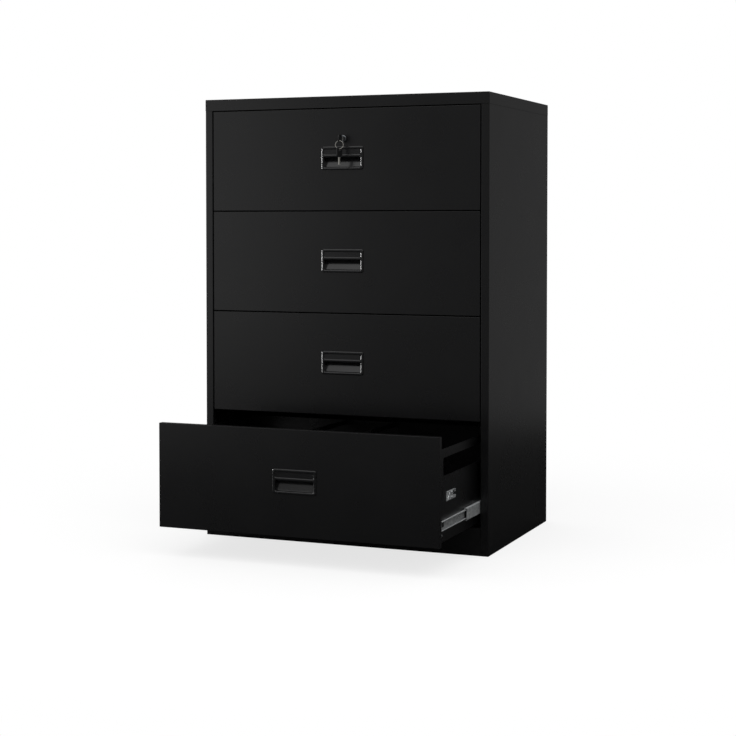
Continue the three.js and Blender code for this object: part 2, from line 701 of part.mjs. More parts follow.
// Spare key hanging from the lowest point of the ring.
function spareKey() {
  const holeZ = ringBottom - HEAD_HOLE + RING_WIRE + RING_PLAY;
  const headTop = holeZ + HEAD_HOLE_END;
  const headLow = headTop - SPARE_HEAD_LENGTH;
  const half = SPARE_HEAD_WIDTH / 2;
  const head = roundRectangle(-half, headLow, half, headTop, HEAD_RADIUS);
  head.holes.push(roundHole(0, holeZ, HEAD_HOLE));
  const plate = alongY(head, [-HEAD_THICK / 2, HEAD_THICK / 2]);
  const blade = new THREE.BoxGeometry(KEY_BLADE_HEIGHT, KEY_BLADE_THICK, SPARE_BLADE_LENGTH + OVERCUT);
  blade.translate(0, 0, headLow + OVERCUT - (SPARE_BLADE_LENGTH + OVERCUT) / 2);
  const place = (geometry) => {
    geometry.rotateZ(THREE.MathUtils.degToRad(SPARE_TURN));
    return solid(geometry.translate(0, ringY, 0));
  };
  return join(place(plate), place(blade));
}

// Assembly

function group(parent, x = 0, y = 0, z = 0) {
  const node = new THREE.Group();
  node.position.set(x, y, z);
  parent.add(node);
  return node;
}

// Group in which a right-hand piece is mirrored to the left.
function mirrored(parent) {
  const node = group(parent);
  node.scale.x = -1;
  return node;
}

// Adds a right-hand piece and its mirror image.
function addPair(parent, name, makeBody, material) {
  parent.add(piece(`${name}_right`, makeBody(), material()));
  mirrored(parent).add(piece(`${name}_left`, makeBody(), material()));
}

const model = new THREE.Group();
const cabinet = group(model, 0, -DEPTH / 2 + LID_LIP);

cabinet.add(piece("side_panel_right", sidePanel(true), powderCoat()));
mirrored(cabinet).add(piece("side_panel_left", sidePanel(false), powderCoat()));
cabinet.add(piece("top_panel", topPanel(), powderCoat()));
cabinet.add(piece("back_panel", backPanel(), powderCoat()));
cabinet.add(piece("base_plinth", basePlinth(), powderCoat()));
cabinet.add(piece("front_post_right", slottedPost(), powderCoat()));
mirrored(cabinet).add(piece("front_post_left", post(frontPostStart), powderCoat()));
addPair(cabinet, "rear_post", () => post(rearPostStart), powderCoat);
cabinet.add(piece("interlock_bar", interlockBar(), zincPlate()));

for (const number of numbers) {
  const height = drawerHeight(number);
  const name = `drawer_${number}`;
  const drawer = group(cabinet, 0, -opening(number), height);
  drawer.add(piece(`${name}_front`, number === 1 ? lockableFront() : drawerFront(), powderCoat()));
  drawer.add(piece(`${name}_tub`, tub(), powderCoat()));
  drawer.add(piece(`${name}_hanging_frame`, hangingFrame(), powderCoat()));
  drawer.add(piece(`${name}_handle`, handle(), mouldedPlastic()));
  drawer.add(piece(`${name}_interlock_lug`, interlockLug(), zincPlate()));

  addPair(group(cabinet, 0, 0, height + SLIDE_RISE), `${name}_slide_outer`, outerMember, zincPlate);
  const middle = group(cabinet, 0, -opening(number) / 2, height + SLIDE_RISE);
  addPair(middle, `${name}_slide_middle`, middleMember, zincPlate);
  addPair(group(drawer, 0, 0, SLIDE_RISE), `${name}_slide_inner`, innerMember, zincPlate);
}

const lock = group(cabinet, LOCK_X, -opening(1), drawerHeight(1) + lockHeight);
lock.add(piece("lock_barrel", lockBarrel(), chromePlate()));
lock.add(piece("lock_plug", lockPlug(), chromePlate()));
lock.add(piece("lock_rod", lockRod(), zincPlate()));
lock.add(piece("key", key(), keyPlastic()));
lock.add(piece("key_ring", keyRing(), springSteel()));
lock.add(piece("spare_key", spareKey(), keyPlastic()));

export default model;
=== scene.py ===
# %% [markdown]
# # A lateral filing cabinet
# The CAD model gives this cabinet its sizes, its bodies and its joints. Blender gives it its
# looks: folded sheet edges with a real bend radius, a moulded handle, rolled slides, a chromed
# lock, and the finish of each. Sizes below are in millimetres, and `MM` turns them into Blender's
# metres.

import json
import math

import bmesh
import bpy
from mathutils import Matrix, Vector

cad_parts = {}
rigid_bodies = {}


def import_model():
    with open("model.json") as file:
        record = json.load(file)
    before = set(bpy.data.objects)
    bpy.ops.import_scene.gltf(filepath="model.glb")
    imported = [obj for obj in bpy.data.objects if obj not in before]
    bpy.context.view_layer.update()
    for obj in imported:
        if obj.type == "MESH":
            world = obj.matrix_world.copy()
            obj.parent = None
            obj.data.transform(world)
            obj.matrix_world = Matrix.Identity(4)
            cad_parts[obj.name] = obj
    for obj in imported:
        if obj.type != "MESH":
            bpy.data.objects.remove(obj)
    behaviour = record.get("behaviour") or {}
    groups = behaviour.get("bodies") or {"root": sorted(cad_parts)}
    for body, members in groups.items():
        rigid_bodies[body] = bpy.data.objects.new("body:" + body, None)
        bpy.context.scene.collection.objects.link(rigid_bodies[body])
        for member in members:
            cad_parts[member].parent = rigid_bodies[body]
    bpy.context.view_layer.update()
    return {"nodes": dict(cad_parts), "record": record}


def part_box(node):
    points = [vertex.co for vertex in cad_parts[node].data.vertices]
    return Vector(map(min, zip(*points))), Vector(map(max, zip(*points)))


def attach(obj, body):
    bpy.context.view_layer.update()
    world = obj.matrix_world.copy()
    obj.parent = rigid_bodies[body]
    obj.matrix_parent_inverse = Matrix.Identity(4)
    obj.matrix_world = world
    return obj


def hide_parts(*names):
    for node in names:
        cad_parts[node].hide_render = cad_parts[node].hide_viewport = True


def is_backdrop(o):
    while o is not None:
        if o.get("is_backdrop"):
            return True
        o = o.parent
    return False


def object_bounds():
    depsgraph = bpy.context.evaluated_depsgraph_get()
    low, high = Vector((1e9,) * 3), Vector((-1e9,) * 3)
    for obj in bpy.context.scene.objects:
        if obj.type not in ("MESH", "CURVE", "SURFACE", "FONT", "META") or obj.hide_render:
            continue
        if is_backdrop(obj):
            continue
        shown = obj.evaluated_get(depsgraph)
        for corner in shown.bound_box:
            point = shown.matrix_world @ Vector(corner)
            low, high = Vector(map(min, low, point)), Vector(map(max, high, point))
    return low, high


MM = 0.001

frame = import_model()
bpy.context.scene.view_settings.view_transform = "Standard"

# %% [markdown]
# ## Finishes
# A material starts from what the real thing is made of. Two small functions are enough for all of
# them: one turns a colour written as sRGB hex into the linear values that the shader works with,
# and one adds a node, sets its options and values, and links whatever is passed to it as a
# socket.

# %% Colour and node helpers
def linear(colour):
    """Linear RGBA values of an sRGB colour such as "#2b2b2d"."""
    channels = [int(colour[place : place + 2], 16) / 255 for place in (1, 3, 5)]
    return [c / 12.92 if c <= 0.04045 else ((c + 0.055) / 1.055) ** 2.4 for c in channels] + [1]


def add_node(owner, kind, options=None, order=(), **inputs):
    """Adds a shader node. Its inputs, in order or by name, get values or links from sockets."""
    made = owner.node_tree.nodes.new("ShaderNode" + kind)
    for name, value in (options or {}).items():
        setattr(made, name, value)
    given = list(zip(made.inputs, order))
    given += [(made.inputs[name.replace("_", " ")], value) for name, value in inputs.items()]
    for socket, value in given:
        if isinstance(value, bpy.types.NodeSocket):
            owner.node_tree.links.new(value, socket)
        else:
            socket.default_value = value
    return made


def start_finish(name):
    """An empty material, and the Object coordinates that its patterns are laid out in."""
    material = bpy.data.materials.new(name)
    material.use_nodes = True
    material.node_tree.nodes.clear()
    return material, add_node(material, "TexCoord").outputs["Object"]


FINISHES = {}  # by the name of the record's material slot


def end_finish(slot, material, **inputs):
    """Gives a material its shader and keeps it for its slot."""
    shader = add_node(material, "BsdfPrincipled", **inputs)
    add_node(material, "OutputMaterial", Surface=shader.outputs["BSDF"])
    FINISHES[slot] = material
    print("finish:", material.name)


print("finish helpers ready")

# %% [markdown]
# ### Powder coat
# The sheets are black polyester powder, sprayed dry and baked until it flows. It ends up satin,
# with the faint ripple that painters call orange peel, and with slow drifts in gloss where the
# layer is thicker. The ripple is a millimetre or two wide, so a fine noise drives the bump, and a
# broad noise drives the colour and the roughness.

# %% Black powder coat
PEEL = 1.8  # width of an orange-peel ripple
PEEL_RISE = 0.03
DRIFT = 160  # width of a drift in gloss

coat, place = start_finish("black_powder_coat")
peel = add_node(coat, "TexNoise", Vector=place, Scale=1 / (PEEL * MM), Detail=2.0)
drift = add_node(coat, "TexNoise", Vector=place, Scale=1 / (DRIFT * MM), Detail=3.0)
dark, light = linear("#0c0c0d"), linear("#101011")
tone = add_node(coat, "MixRGB", Fac=drift.outputs["Fac"], Color1=dark, Color2=light)
gloss = add_node(coat, "MapRange", Value=drift.outputs["Fac"], To_Min=0.24, To_Max=0.32)
ripple = add_node(coat, "Bump", Strength=0.15, Distance=PEEL_RISE * MM, Height=peel.outputs["Fac"])
end_finish(
    "powder_coat",
    coat,
    Base_Color=tone.outputs["Color"],
    Roughness=gloss.outputs["Result"],
    Normal=ripple.outputs["Normal"],
    IOR=1.5,
)

# %% [markdown]
# ### Zinc plate
# Slides and lugs are cold-rolled strip with bright zinc plating. Rolling leaves long fine lines
# along the strip, and passivation leaves a cloudy blue-grey that is nearly neutral. Stretching a
# noise along Y, the way the strips run, gives both lines and a matching drift in roughness.

# %% Zinc plate
ROLL_LINE = 0.7  # width of a rolling line, drawn twice as coarse as the real one so that it shows
ROLL_LENGTH = 60
ROLL_DEPTH = 0.02
CLOUD = 10  # width of a cloud in the passivation

zinc, place = start_finish("zinc_plated_strip")
stretch = (1 / (ROLL_LINE * MM), 1 / (ROLL_LENGTH * MM), 1 / (ROLL_LINE * MM))
along = add_node(zinc, "Mapping", Vector=place, Scale=stretch)
lines = add_node(zinc, "TexNoise", Vector=along.outputs["Vector"], Scale=1.0, Detail=3.0)
cloud = add_node(zinc, "TexNoise", Vector=place, Scale=1 / (CLOUD * MM), Detail=4.0)
dark, light = linear("#484b4f"), linear("#b4b6b6")
tone = add_node(zinc, "MixRGB", Fac=cloud.outputs["Fac"], Color1=dark, Color2=light)
gloss = add_node(zinc, "MapRange", Value=lines.outputs["Fac"], To_Min=0.38, To_Max=0.56)
score = add_node(zinc, "Bump", Strength=0.12, Distance=ROLL_DEPTH * MM, Height=lines.outputs["Fac"])
end_finish(
    "zinc_plate",
    zinc,
    Base_Color=tone.outputs["Color"],
    Roughness=gloss.outputs["Result"],
    Normal=score.outputs["Normal"],
    Metallic=0.6,
)

# %% [markdown]
# ### Moulded ABS
# The handles are injection-moulded ABS, dyed black. The mould is polished after spark erosion,
# which leaves a faint even grain of about half a millimetre in a glossy face, so every bar shows
# a clear highlight.

# %% Black ABS
SPARK_GRAIN = 0.6
SPARK_DEPTH = 0.03
FLOW = 30  # width of a drift in the dye, where the melt flowed

plastic, place = start_finish("black_moulded_abs")
grain = add_node(plastic, "TexNoise", Vector=place, Scale=1 / (SPARK_GRAIN * MM), Detail=1.0)
flow = add_node(plastic, "TexNoise", Vector=place, Scale=1 / (FLOW * MM), Detail=2.0)
dark, light = linear("#0e0e0f"), linear("#131314")
tone = add_node(plastic, "MixRGB", Fac=flow.outputs["Fac"], Color1=dark, Color2=light)
gloss = add_node(plastic, "MapRange", Value=grain.outputs["Fac"], To_Min=0.16, To_Max=0.24)
depth = SPARK_DEPTH * MM
pits = add_node(plastic, "Bump", Strength=0.2, Distance=depth, Height=grain.outputs["Fac"])
end_finish(
    "handle_plastic",
    plastic,
    Base_Color=tone.outputs["Color"],
    Roughness=gloss.outputs["Result"],
    Normal=pits.outputs["Normal"],
    IOR=1.54,
)

# %% [markdown]
# ### Chrome, spring steel and key plastic
# The lock is die-cast and chromed. Handling has dulled it, so it mirrors softly, with a few
# hairline scratches. The ring and the key blades are nickel-plated steel: warmer and lighter. The
# key heads are black nylon with a fine grain.

# %% Chrome and nickel
SCRATCH_LENGTH = 12  # a scratch is so many times as long as it is wide
SCRATCH_TURN = (0.3, 0.6, 0.2)  # radians, so that no scratch runs along an edge


def plated(slot, name, dark, bright, rough, scratch, metallic):
    """A plated metal with hairline scratches of the given width, twice as rough in places."""
    metal, place = start_finish(name)
    turned = add_node(metal, "Mapping", Vector=place, Rotation=SCRATCH_TURN)
    squeeze = (1, SCRATCH_LENGTH, 1)
    across = add_node(metal, "Mapping", Vector=turned.outputs["Vector"], Scale=squeeze)
    scale = 1 / (SCRATCH_LENGTH * scratch * MM)
    hairs = add_node(metal, "TexNoise", Vector=across.outputs["Vector"], Scale=scale, Detail=4.0)
    ends = {"Color1": linear(dark), "Color2": linear(bright)}
    tone = add_node(metal, "MixRGB", Fac=hairs.outputs["Fac"], **ends)
    gloss = add_node(metal, "MapRange", Value=hairs.outputs["Fac"], To_Min=rough, To_Max=rough * 2)
    end_finish(
        slot,
        metal,
        Base_Color=tone.outputs["Color"],
        Roughness=gloss.outputs["Result"],
        Metallic=metallic,
    )


plated("chrome_plate", "chromed_die_casting", "#7d8084", "#9a9da0", 0.18, 0.15, 1.0)
plated("ring_steel", "nickel_plated_steel", "#97958f", "#bcbab4", 0.2, 0.2, 0.6)

# %% Black nylon
NYLON_GRAIN = 0.5
NYLON_DEPTH = 0.03

nylon, place = start_finish("black_nylon")
grain = add_node(nylon, "TexNoise", Vector=place, Scale=1 / (NYLON_GRAIN * MM), Detail=1.0)
dark, light = linear("#111112"), linear("#19191a")
tone = add_node(nylon, "MixRGB", Fac=grain.outputs["Fac"], Color1=dark, Color2=light)
gloss = add_node(nylon, "MapRange", Value=grain.outputs["Fac"], To_Min=0.32, To_Max=0.46)
depth = NYLON_DEPTH * MM
pits = add_node(nylon, "Bump", Strength=0.15, Distance=depth, Height=grain.outputs["Fac"])
end_finish(
    "key_plastic",
    nylon,
    Base_Color=tone.outputs["Color"],
    Roughness=gloss.outputs["Result"],
    Normal=pits.outputs["Normal"],
    IOR=1.53,
)

# %% [markdown]
# ## Working in edit mode
# Modelling by hand goes: add a box, enter edit mode, pick faces or edges, and run an operator on
# them. In a script the picking is done by a test on each face or edge, such as which way it
# faces. These helpers open a mesh, pick in it, round its sharp edges, and add and apply a
# modifier.

# %% Edit-mode helpers
SHARP = math.radians(28)
NEAR = 0.01  # places closer than this count as the same
ALIGNED = 0.99  # cosine of the angle between directions that count as the same


def only(piece):
    """Makes piece the one selected and active object."""
    bpy.ops.object.select_all(action="DESELECT")
    piece.select_set(True)
    bpy.context.view_layer.objects.active = piece


def open_mesh(piece, mode):
    """Opens piece in edit mode with nothing selected."""
    only(piece)
    bpy.ops.object.mode_set(mode="EDIT")
    bpy.ops.mesh.select_mode(type=mode)
    bpy.ops.mesh.select_all(action="DESELECT")


def close_mesh():
    bpy.ops.object.mode_set(mode="OBJECT")


def pick(piece, kind, test):
    """Selects the "faces", "edges" or "verts" that pass the test, in the open mesh."""
    mesh = bmesh.from_edit_mesh(piece.data)
    for element in getattr(mesh, kind):
        if test(element):
            element.select_set(True)
    mesh.select_flush_mode()
    bmesh.update_edit_mesh(piece.data)


def facing(direction):
    """A test for faces that look along direction."""
    return lambda face: face.normal.dot(Vector(direction)) > ALIGNED


def middle(element):
    """The middle of an edge or a face, in millimetres."""
    places = [vertex.co for vertex in element.verts]
    return sum(places, Vector()) / (len(places) * MM)


def runs_along(edge, axis):
    """True where an edge is parallel to axis 0, 1 or 2."""
    step = edge.verts[1].co - edge.verts[0].co
    return abs(step[axis]) > 0.999 * step.length


def round_edges(piece, radius, test=lambda edge: True, segments=4, profile=0.5):
    """Bevels the sharp edges of piece that pass the test. An arc has profile 0.5."""
    open_mesh(piece, "EDGE")
    sharp = lambda edge: edge.is_manifold and edge.calc_face_angle(0) > SHARP
    pick(piece, "edges", lambda edge: sharp(edge) and test(edge))
    bpy.ops.mesh.bevel(offset=radius * MM, segments=segments, profile=profile, affect="EDGES")
    close_mesh()


def apply(piece, kind, **settings):
    """Adds a modifier with its settings and applies it."""
    only(piece)
    modifier = piece.modifiers.new(kind, kind)
    for name, value in settings.items():
        setattr(modifier, name, value)
    bpy.ops.object.modifier_apply(modifier=modifier.name)


print("edit-mode helpers ready")

# %% [markdown]
# A primitive is added at its size and place, and its place is then applied to its mesh, so that
# every object sits at the origin like the CAD nodes and patterns in Object coordinates stay where
# they belong.

# %% Starting shapes, cutting and copying
def corners(node):
    """Lowest and highest corner of a CAD node, in millimetres."""
    low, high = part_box(node)
    return low / MM, high / MM


def settle(name):
    """Names the new primitive and applies its place, turn and size to its mesh."""
    piece = bpy.context.object
    piece.name = name
    bpy.ops.object.transform_apply(location=True, rotation=True, scale=True)
    return piece


def box(name, low, high):
    """A box between two corners."""
    low, high = Vector(low) * MM, Vector(high) * MM
    bpy.ops.object.select_all(action="DESELECT")
    bpy.ops.mesh.primitive_cube_add(size=1, location=(low + high) / 2)
    bpy.context.object.scale = high - low
    return settle(name)


def bar(name, radius, start, end, turn=(math.pi / 2, 0, 0), sides=48):
    """A round bar from one point to another, turned from upright to lie between them."""
    start, end = Vector(start), Vector(end)
    bpy.ops.object.select_all(action="DESELECT")
    bpy.ops.mesh.primitive_cylinder_add(
        vertices=sides,
        radius=radius * MM,
        depth=(end - start).length * MM,
        location=(start + end) / 2 * MM,
        rotation=turn,
    )
    return settle(name)


def cut(piece, *cutters):
    """Cuts each cutter out of piece and deletes it."""
    for cutter in cutters:
        apply(piece, "BOOLEAN", operation="DIFFERENCE", solver="EXACT", object=cutter)
        bpy.data.objects.remove(cutter)


def merge_flat(piece, spread=0.5):
    """Joins faces that lie flat to within spread degrees, so that they shade as one."""
    open_mesh(piece, "VERT")
    bpy.ops.mesh.select_all(action="SELECT")
    bpy.ops.mesh.remove_doubles(threshold=NEAR * MM)
    bpy.ops.mesh.dissolve_limited(angle_limit=math.radians(spread))
    close_mesh()


def face_outwards(piece):
    """Turns every face of a closed shape outwards."""
    open_mesh(piece, "FACE")
    bpy.ops.mesh.select_all(action="SELECT")
    bpy.ops.mesh.normals_make_consistent(inside=False)
    close_mesh()


def copy_of(piece, name, travel=(0, 0, 0), mirror=False):
    """A copy with its own mesh, moved by travel, or mirrored from right to left."""
    only(piece)
    bpy.ops.object.duplicate()
    made = bpy.context.object
    made.location = Vector(travel) * MM
    made.scale.x = -1 if mirror else 1
    settle(name)
    if mirror:
        face_outwards(made)
    return made


def dress(piece, body, slot, *nodes):
    """Smooths and paints piece, lets it ride its body, and hides the CAD nodes it stands for."""
    only(piece)
    bpy.ops.object.shade_smooth_by_angle(angle=SHARP)
    apply(piece, "WEIGHTED_NORMAL", keep_sharp=True)
    piece.data.materials.clear()
    piece.data.materials.append(FINISHES[slot])
    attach(piece, body)
    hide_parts(*nodes)
    return piece


print("shape helpers ready")

# %% [markdown]
# ## The lid
# The lid is a shallow pan turned upside down: its edges are folded down into a skirt, and the
# foot of the skirt is folded in again. A folded pan is easy to make as a thin surface: inset the
# open side by the width of the lip, delete the middle, round every fold, and give the surface its
# sheet thickness with Solidify. Drawing the thickness first would mean rounding the inside and
# the outside of each fold separately.

# %% Folded pans and the lid
SHEET = 1.2
BEND = 1.8  # outer radius of a fold
FOOT_BEND = 0.5  # where a lip is pressed tight against the next sheet
LID_LIP = 16


def folded_pan(name, low, high, mouth, lip, upright_bend, level_bend):
    """A pan of folded sheet that is open towards mouth, with a lip turned in round the opening."""
    pan = box(name, low, high)
    open_mesh(pan, "FACE")
    pick(pan, "faces", facing(mouth))
    bpy.ops.mesh.inset(thickness=lip * MM)
    bpy.ops.mesh.delete(type="FACE")
    close_mesh()
    deepest = max(Vector(low).dot(Vector(mouth)), Vector(high).dot(Vector(mouth)))
    at_mouth = lambda edge: middle(edge).dot(Vector(mouth)) > deepest - NEAR
    upright = lambda edge: runs_along(edge, 2)
    round_edges(pan, upright_bend, lambda edge: upright(edge) and not at_mouth(edge))
    round_edges(pan, level_bend, lambda edge: not upright(edge) and not at_mouth(edge))
    round_edges(pan, FOOT_BEND, at_mouth, segments=2)
    apply(pan, "SOLIDIFY", thickness=SHEET * MM, offset=-1, use_even_offset=True)
    return pan


lid = folded_pan("lid", *corners("top_panel"), (0, 0, -1), LID_LIP, BEND, BEND)
dress(lid, "cabinet", "powder_coat", "top_panel")
print("lid faces:", len(lid.data.polygons))

# %% [markdown]
# ## Side panels, plinth and back
# The CAD nodes of the shell already have the right flat sheets. What they lack is the fold radius
# where the eye meets it: on the stiles beside the drawers, and on the top edge of the plinth. So
# a copy of the node is merged from loose triangles into flat faces, and just those folds are
# bevelled.

# %% Rounded copies of the shell's sheets
def rounded_copy(node, name, radius, test=lambda edge: True, segments=4):
    """A copy of a CAD node as flat faces, with the edges that pass the test rounded."""
    piece = bpy.data.objects.new(name, frame["nodes"][node].data.copy())
    bpy.context.scene.collection.objects.link(piece)
    merge_flat(piece, spread=1)
    round_edges(piece, radius, test, segments)
    return piece


front_plane = corners("base_plinth")[0].y
plinth_top = corners("base_plinth")[1].z


def on_stile(edge):
    """True for the upright folds of a side panel in the plane of the drawer fronts."""
    return runs_along(edge, 2) and abs(middle(edge).y - front_plane) < NEAR


def on_plinth(edge):
    """True for the level fold along the top of the plinth."""
    at = middle(edge)
    at_front, at_top = abs(at.y - front_plane) < NEAR, abs(at.z - plinth_top) < NEAR
    return runs_along(edge, 0) and at_front and at_top


for side in ("left", "right"):
    panel = rounded_copy(f"side_panel_{side}", f"cabinet_side_{side}", BEND, on_stile)
    dress(panel, "cabinet", "powder_coat", f"side_panel_{side}")
plinth = rounded_copy("base_plinth", "plinth_and_base", BEND, on_plinth)
dress(plinth, "cabinet", "powder_coat", "base_plinth")
print("front plane at y =", round(front_plane, 2), "mm")

# %% [markdown]
# ## Drawer fronts
# Each front is a folded pan like the lid, stood on edge, with an opening for the shell of the
# handle. One front is modelled and copied three times. Only then does the copy for the top drawer
# get the hole for its lock and the slot for the end of the lock rod.

# %% The drawers' heights
DRAWERS = (1, 2, 3, 4)
MASTER = 2  # a closed drawer with no lock, modelled first

fronts = {number: corners(f"drawer_{number}_front") for number in DRAWERS}
face_low, face_high = fronts[MASTER]
travel = {number: fronts[number][0] - face_low for number in DRAWERS}
print("lower edges of the fronts:", [round(fronts[number][0].z, 1) for number in DRAWERS])

# %% Drawer fronts
FRONT_LIP = 14
FRONT_BEND = 1.3  # of the upright folds
FRONT_HEM = 1.0  # bend of the level folds, which are pressed tighter
SHELL_HALF = 60.3  # half the width of the handle's opening
SHELL_LOW, SHELL_HIGH = -29.35, 21.95  # foot and top of that opening, from the handle's middle
FRONT_CUT = (-5, 5)  # from before to behind the sheet, for cutters
LOCK_HOLE = 9.3  # radius
ROD_PLAY = 0.3
ROD_SLOT_LOW, ROD_SLOT_HIGH = 3.75, 14.35  # above the middle of the lock

handle_low, handle_high = corners(f"drawer_{MASTER}_handle")
handle_middle = Vector((0, face_low.y, (handle_low.z + handle_high.z) / 2))
barrel_low, barrel_high = corners("lock_barrel")
lock = (barrel_low + barrel_high) / 2
lock.y = fronts[1][0].y
rod_low, rod_high = corners("lock_rod")


def from_handle(x, y, z):
    """A point given from the middle of the master's handle, in the plane of its front."""
    return handle_middle + Vector((x, y, z))


def handle_opening(start, end):
    """A cutter for the opening that the shell of the handle passes through."""
    corner = from_handle(-SHELL_HALF, start, SHELL_LOW)
    return box("opening", corner, from_handle(SHELL_HALF, end, SHELL_HIGH))


front = folded_pan("front", face_low, face_high, (0, 1, 0), FRONT_LIP, FRONT_BEND, FRONT_HEM)
cut(front, handle_opening(*FRONT_CUT))
drawer_fronts = {}
for number in DRAWERS:
    drawer_fronts[number] = copy_of(front, f"drawer_{number}_face", travel[number])
bpy.data.objects.remove(front)
lock_hole = bar("lock_hole", LOCK_HOLE, *[lock + Vector((0, y, 0)) for y in FRONT_CUT])
rod_slot = box(
    "rod_slot",
    (face_high.x - 2 * SHEET, rod_low.y - ROD_PLAY, lock.z + ROD_SLOT_LOW),
    (face_high.x + 2 * SHEET, rod_high.y + ROD_PLAY, lock.z + ROD_SLOT_HIGH),
)
cut(drawer_fronts[1], lock_hole, rod_slot)
for number, piece in drawer_fronts.items():
    dress(piece, f"drawer_{number}", "powder_coat", f"drawer_{number}_front")
print("fronts:", len(drawer_fronts), "with", len(drawer_fronts[1].data.polygons), "faces")

# %% [markdown]
# ## Drawer tubs
# A tub is one sheet folded up on four sides. The rim of its side walls is folded in and down
# again as a hem, so that no raw edge meets a hand, and each side has a long window. The hem is
# made as a fold really is made: the rim edge is extruded inwards, and then down. The windows are
# punched through both sides by one long cutter.

# %% One tub with its hems
TUB_SHEET = 1.0
TUB_BEND = 2.5
HEM = 2.4  # from the outside of the wall to the inside of the hem
HEM_DEPTH = 9
HEM_BEND = 0.9

tub_low, tub_high = corners(f"drawer_{MASTER}_tub")


def rim(side):
    """A test for the rim edges along the left (-1) or right (1) wall."""
    outside = lambda edge: middle(edge).x * side > tub_high.x - NEAR
    return lambda edge: edge.is_boundary and runs_along(edge, 1) and outside(edge)


def extrude_edges(*steps):
    """Extrudes the selected edges step by step."""
    for step in steps:
        bpy.ops.mesh.extrude_edges_move(TRANSFORM_OT_translate={"value": Vector(step) * MM})


tub = box("tub", tub_low, tub_high)
open_mesh(tub, "FACE")
pick(tub, "faces", facing((0, 0, 1)))
bpy.ops.mesh.delete(type="FACE")
close_mesh()
round_edges(tub, TUB_BEND)
for side in (-1, 1):
    open_mesh(tub, "EDGE")
    pick(tub, "edges", rim(side))
    extrude_edges((-side * HEM, 0, 0), (0, 0, -HEM_DEPTH))
    close_mesh()
round_edges(tub, HEM_BEND, lambda edge: middle(edge).z > tub_high.z - NEAR, segments=3)
apply(tub, "SOLIDIFY", thickness=TUB_SHEET * MM, offset=-1, use_even_offset=True)
print("tub faces:", len(tub.data.polygons))

# %% Windows, and the tubs of all drawers
WINDOW_START, WINDOW_END = 62, 481  # behind the plane of the front
WINDOW_LOW, WINDOW_HIGH = 185, 234  # above the lower edge of the front
WINDOW_RADIUS = 6
PUNCH = 10  # the cutter reaches this far beyond both walls
TUB_CUT = (15, 25)  # from before to behind the tub's front wall, for a cutter

window = box(
    "window",
    face_low + Vector((-PUNCH, WINDOW_START, WINDOW_LOW)),
    Vector((face_high.x + PUNCH, face_low.y + WINDOW_END, face_low.z + WINDOW_HIGH)),
)
round_edges(window, WINDOW_RADIUS, lambda edge: runs_along(edge, 0), segments=6)
cut(tub, window, handle_opening(*TUB_CUT))
for number in DRAWERS:
    piece = copy_of(tub, f"drawer_{number}_box", travel[number])
    dress(piece, f"drawer_{number}", "powder_coat", f"drawer_{number}_tub")
bpy.data.objects.remove(tub)
print("tubs:", len(DRAWERS))

# %% [markdown]
# ## Handles
# The handle is one moulding: a frame of low-crowned bars that lies on the front, a label recess
# above, and a finger cup below with room behind the divider for the finger tips. The frame starts
# as a plate with rounded corners. Its two windows are cut out, and then one bevel runs round
# every front edge, so that all bars get the same crown at once. What is left of the flat front is
# filled anew, because cutting splits it into slivers that would catch the light. Last, the frame
# is pressed flatter.

# %% The frame of bars
BEZEL_BACK = -0.3  # the moulding sits this far in front of the sheet
BEZEL_RADIUS = 6
BAR_ROUND = 3.6  # half the width of the thinnest bar
BAR_PROFILE = 0.4  # a little flatter than an arc
BAR_STRETCH = 1.8  # the bars are rounded deeper than they are, then pressed flatter
HOLLOW_HALF = 58  # half the width of both windows
HOLLOW_RADIUS = 3
HOLLOW_REACH = 20  # of a cutter, before and behind the front
LABEL_LOW, LABEL_HIGH = 10.85, 25.55  # the label's window, from the handle's middle
CUP_LOW, CUP_HIGH = -27.05, 2.65  # the finger cup's window

bezel_face = handle_low.y - face_low.y
bezel_depth = (BEZEL_BACK - bezel_face) * BAR_STRETCH


def window_cutter(low, high):
    """A cutter for a window in the frame of bars, with rounded corners."""
    corner = from_handle(-HOLLOW_HALF, -HOLLOW_REACH, low)
    cutter = box("window", corner, from_handle(HOLLOW_HALF, HOLLOW_REACH, high))
    round_edges(cutter, HOLLOW_RADIUS, lambda edge: runs_along(edge, 1))
    return cutter


bezel_low = Vector((handle_low.x, face_low.y + BEZEL_BACK - bezel_depth, handle_low.z))
bezel_high = Vector((handle_high.x, face_low.y + BEZEL_BACK, handle_high.z))


def on_bars(element):
    """True for edges and faces in the plane of the bars' front."""
    return middle(element).y < bezel_low.y + NEAR


handle = box("handle", bezel_low, bezel_high)
round_edges(handle, BEZEL_RADIUS, lambda edge: runs_along(edge, 1), segments=8)
cut(handle, window_cutter(LABEL_LOW, LABEL_HIGH), window_cutter(CUP_LOW, CUP_HIGH))
round_edges(handle, BAR_ROUND, on_bars, segments=6, profile=BAR_PROFILE)
open_mesh(handle, "FACE")
pick(handle, "faces", on_bars)
bpy.ops.mesh.delete(type="FACE")
bpy.ops.mesh.select_mode(type="EDGE")
pick(handle, "edges", lambda edge: edge.is_boundary)
bpy.ops.mesh.fill(use_beauty=True)
close_mesh()
face_outwards(handle)
open_mesh(handle, "VERT")
bpy.ops.mesh.select_all(action="SELECT")
rear = from_handle(0, BEZEL_BACK, 0) * MM
bpy.ops.transform.resize(value=(1, 1 / BAR_STRETCH, 1), center_override=rear)
close_mesh()
print("frame of bars:", len(handle.data.polygons), "faces")

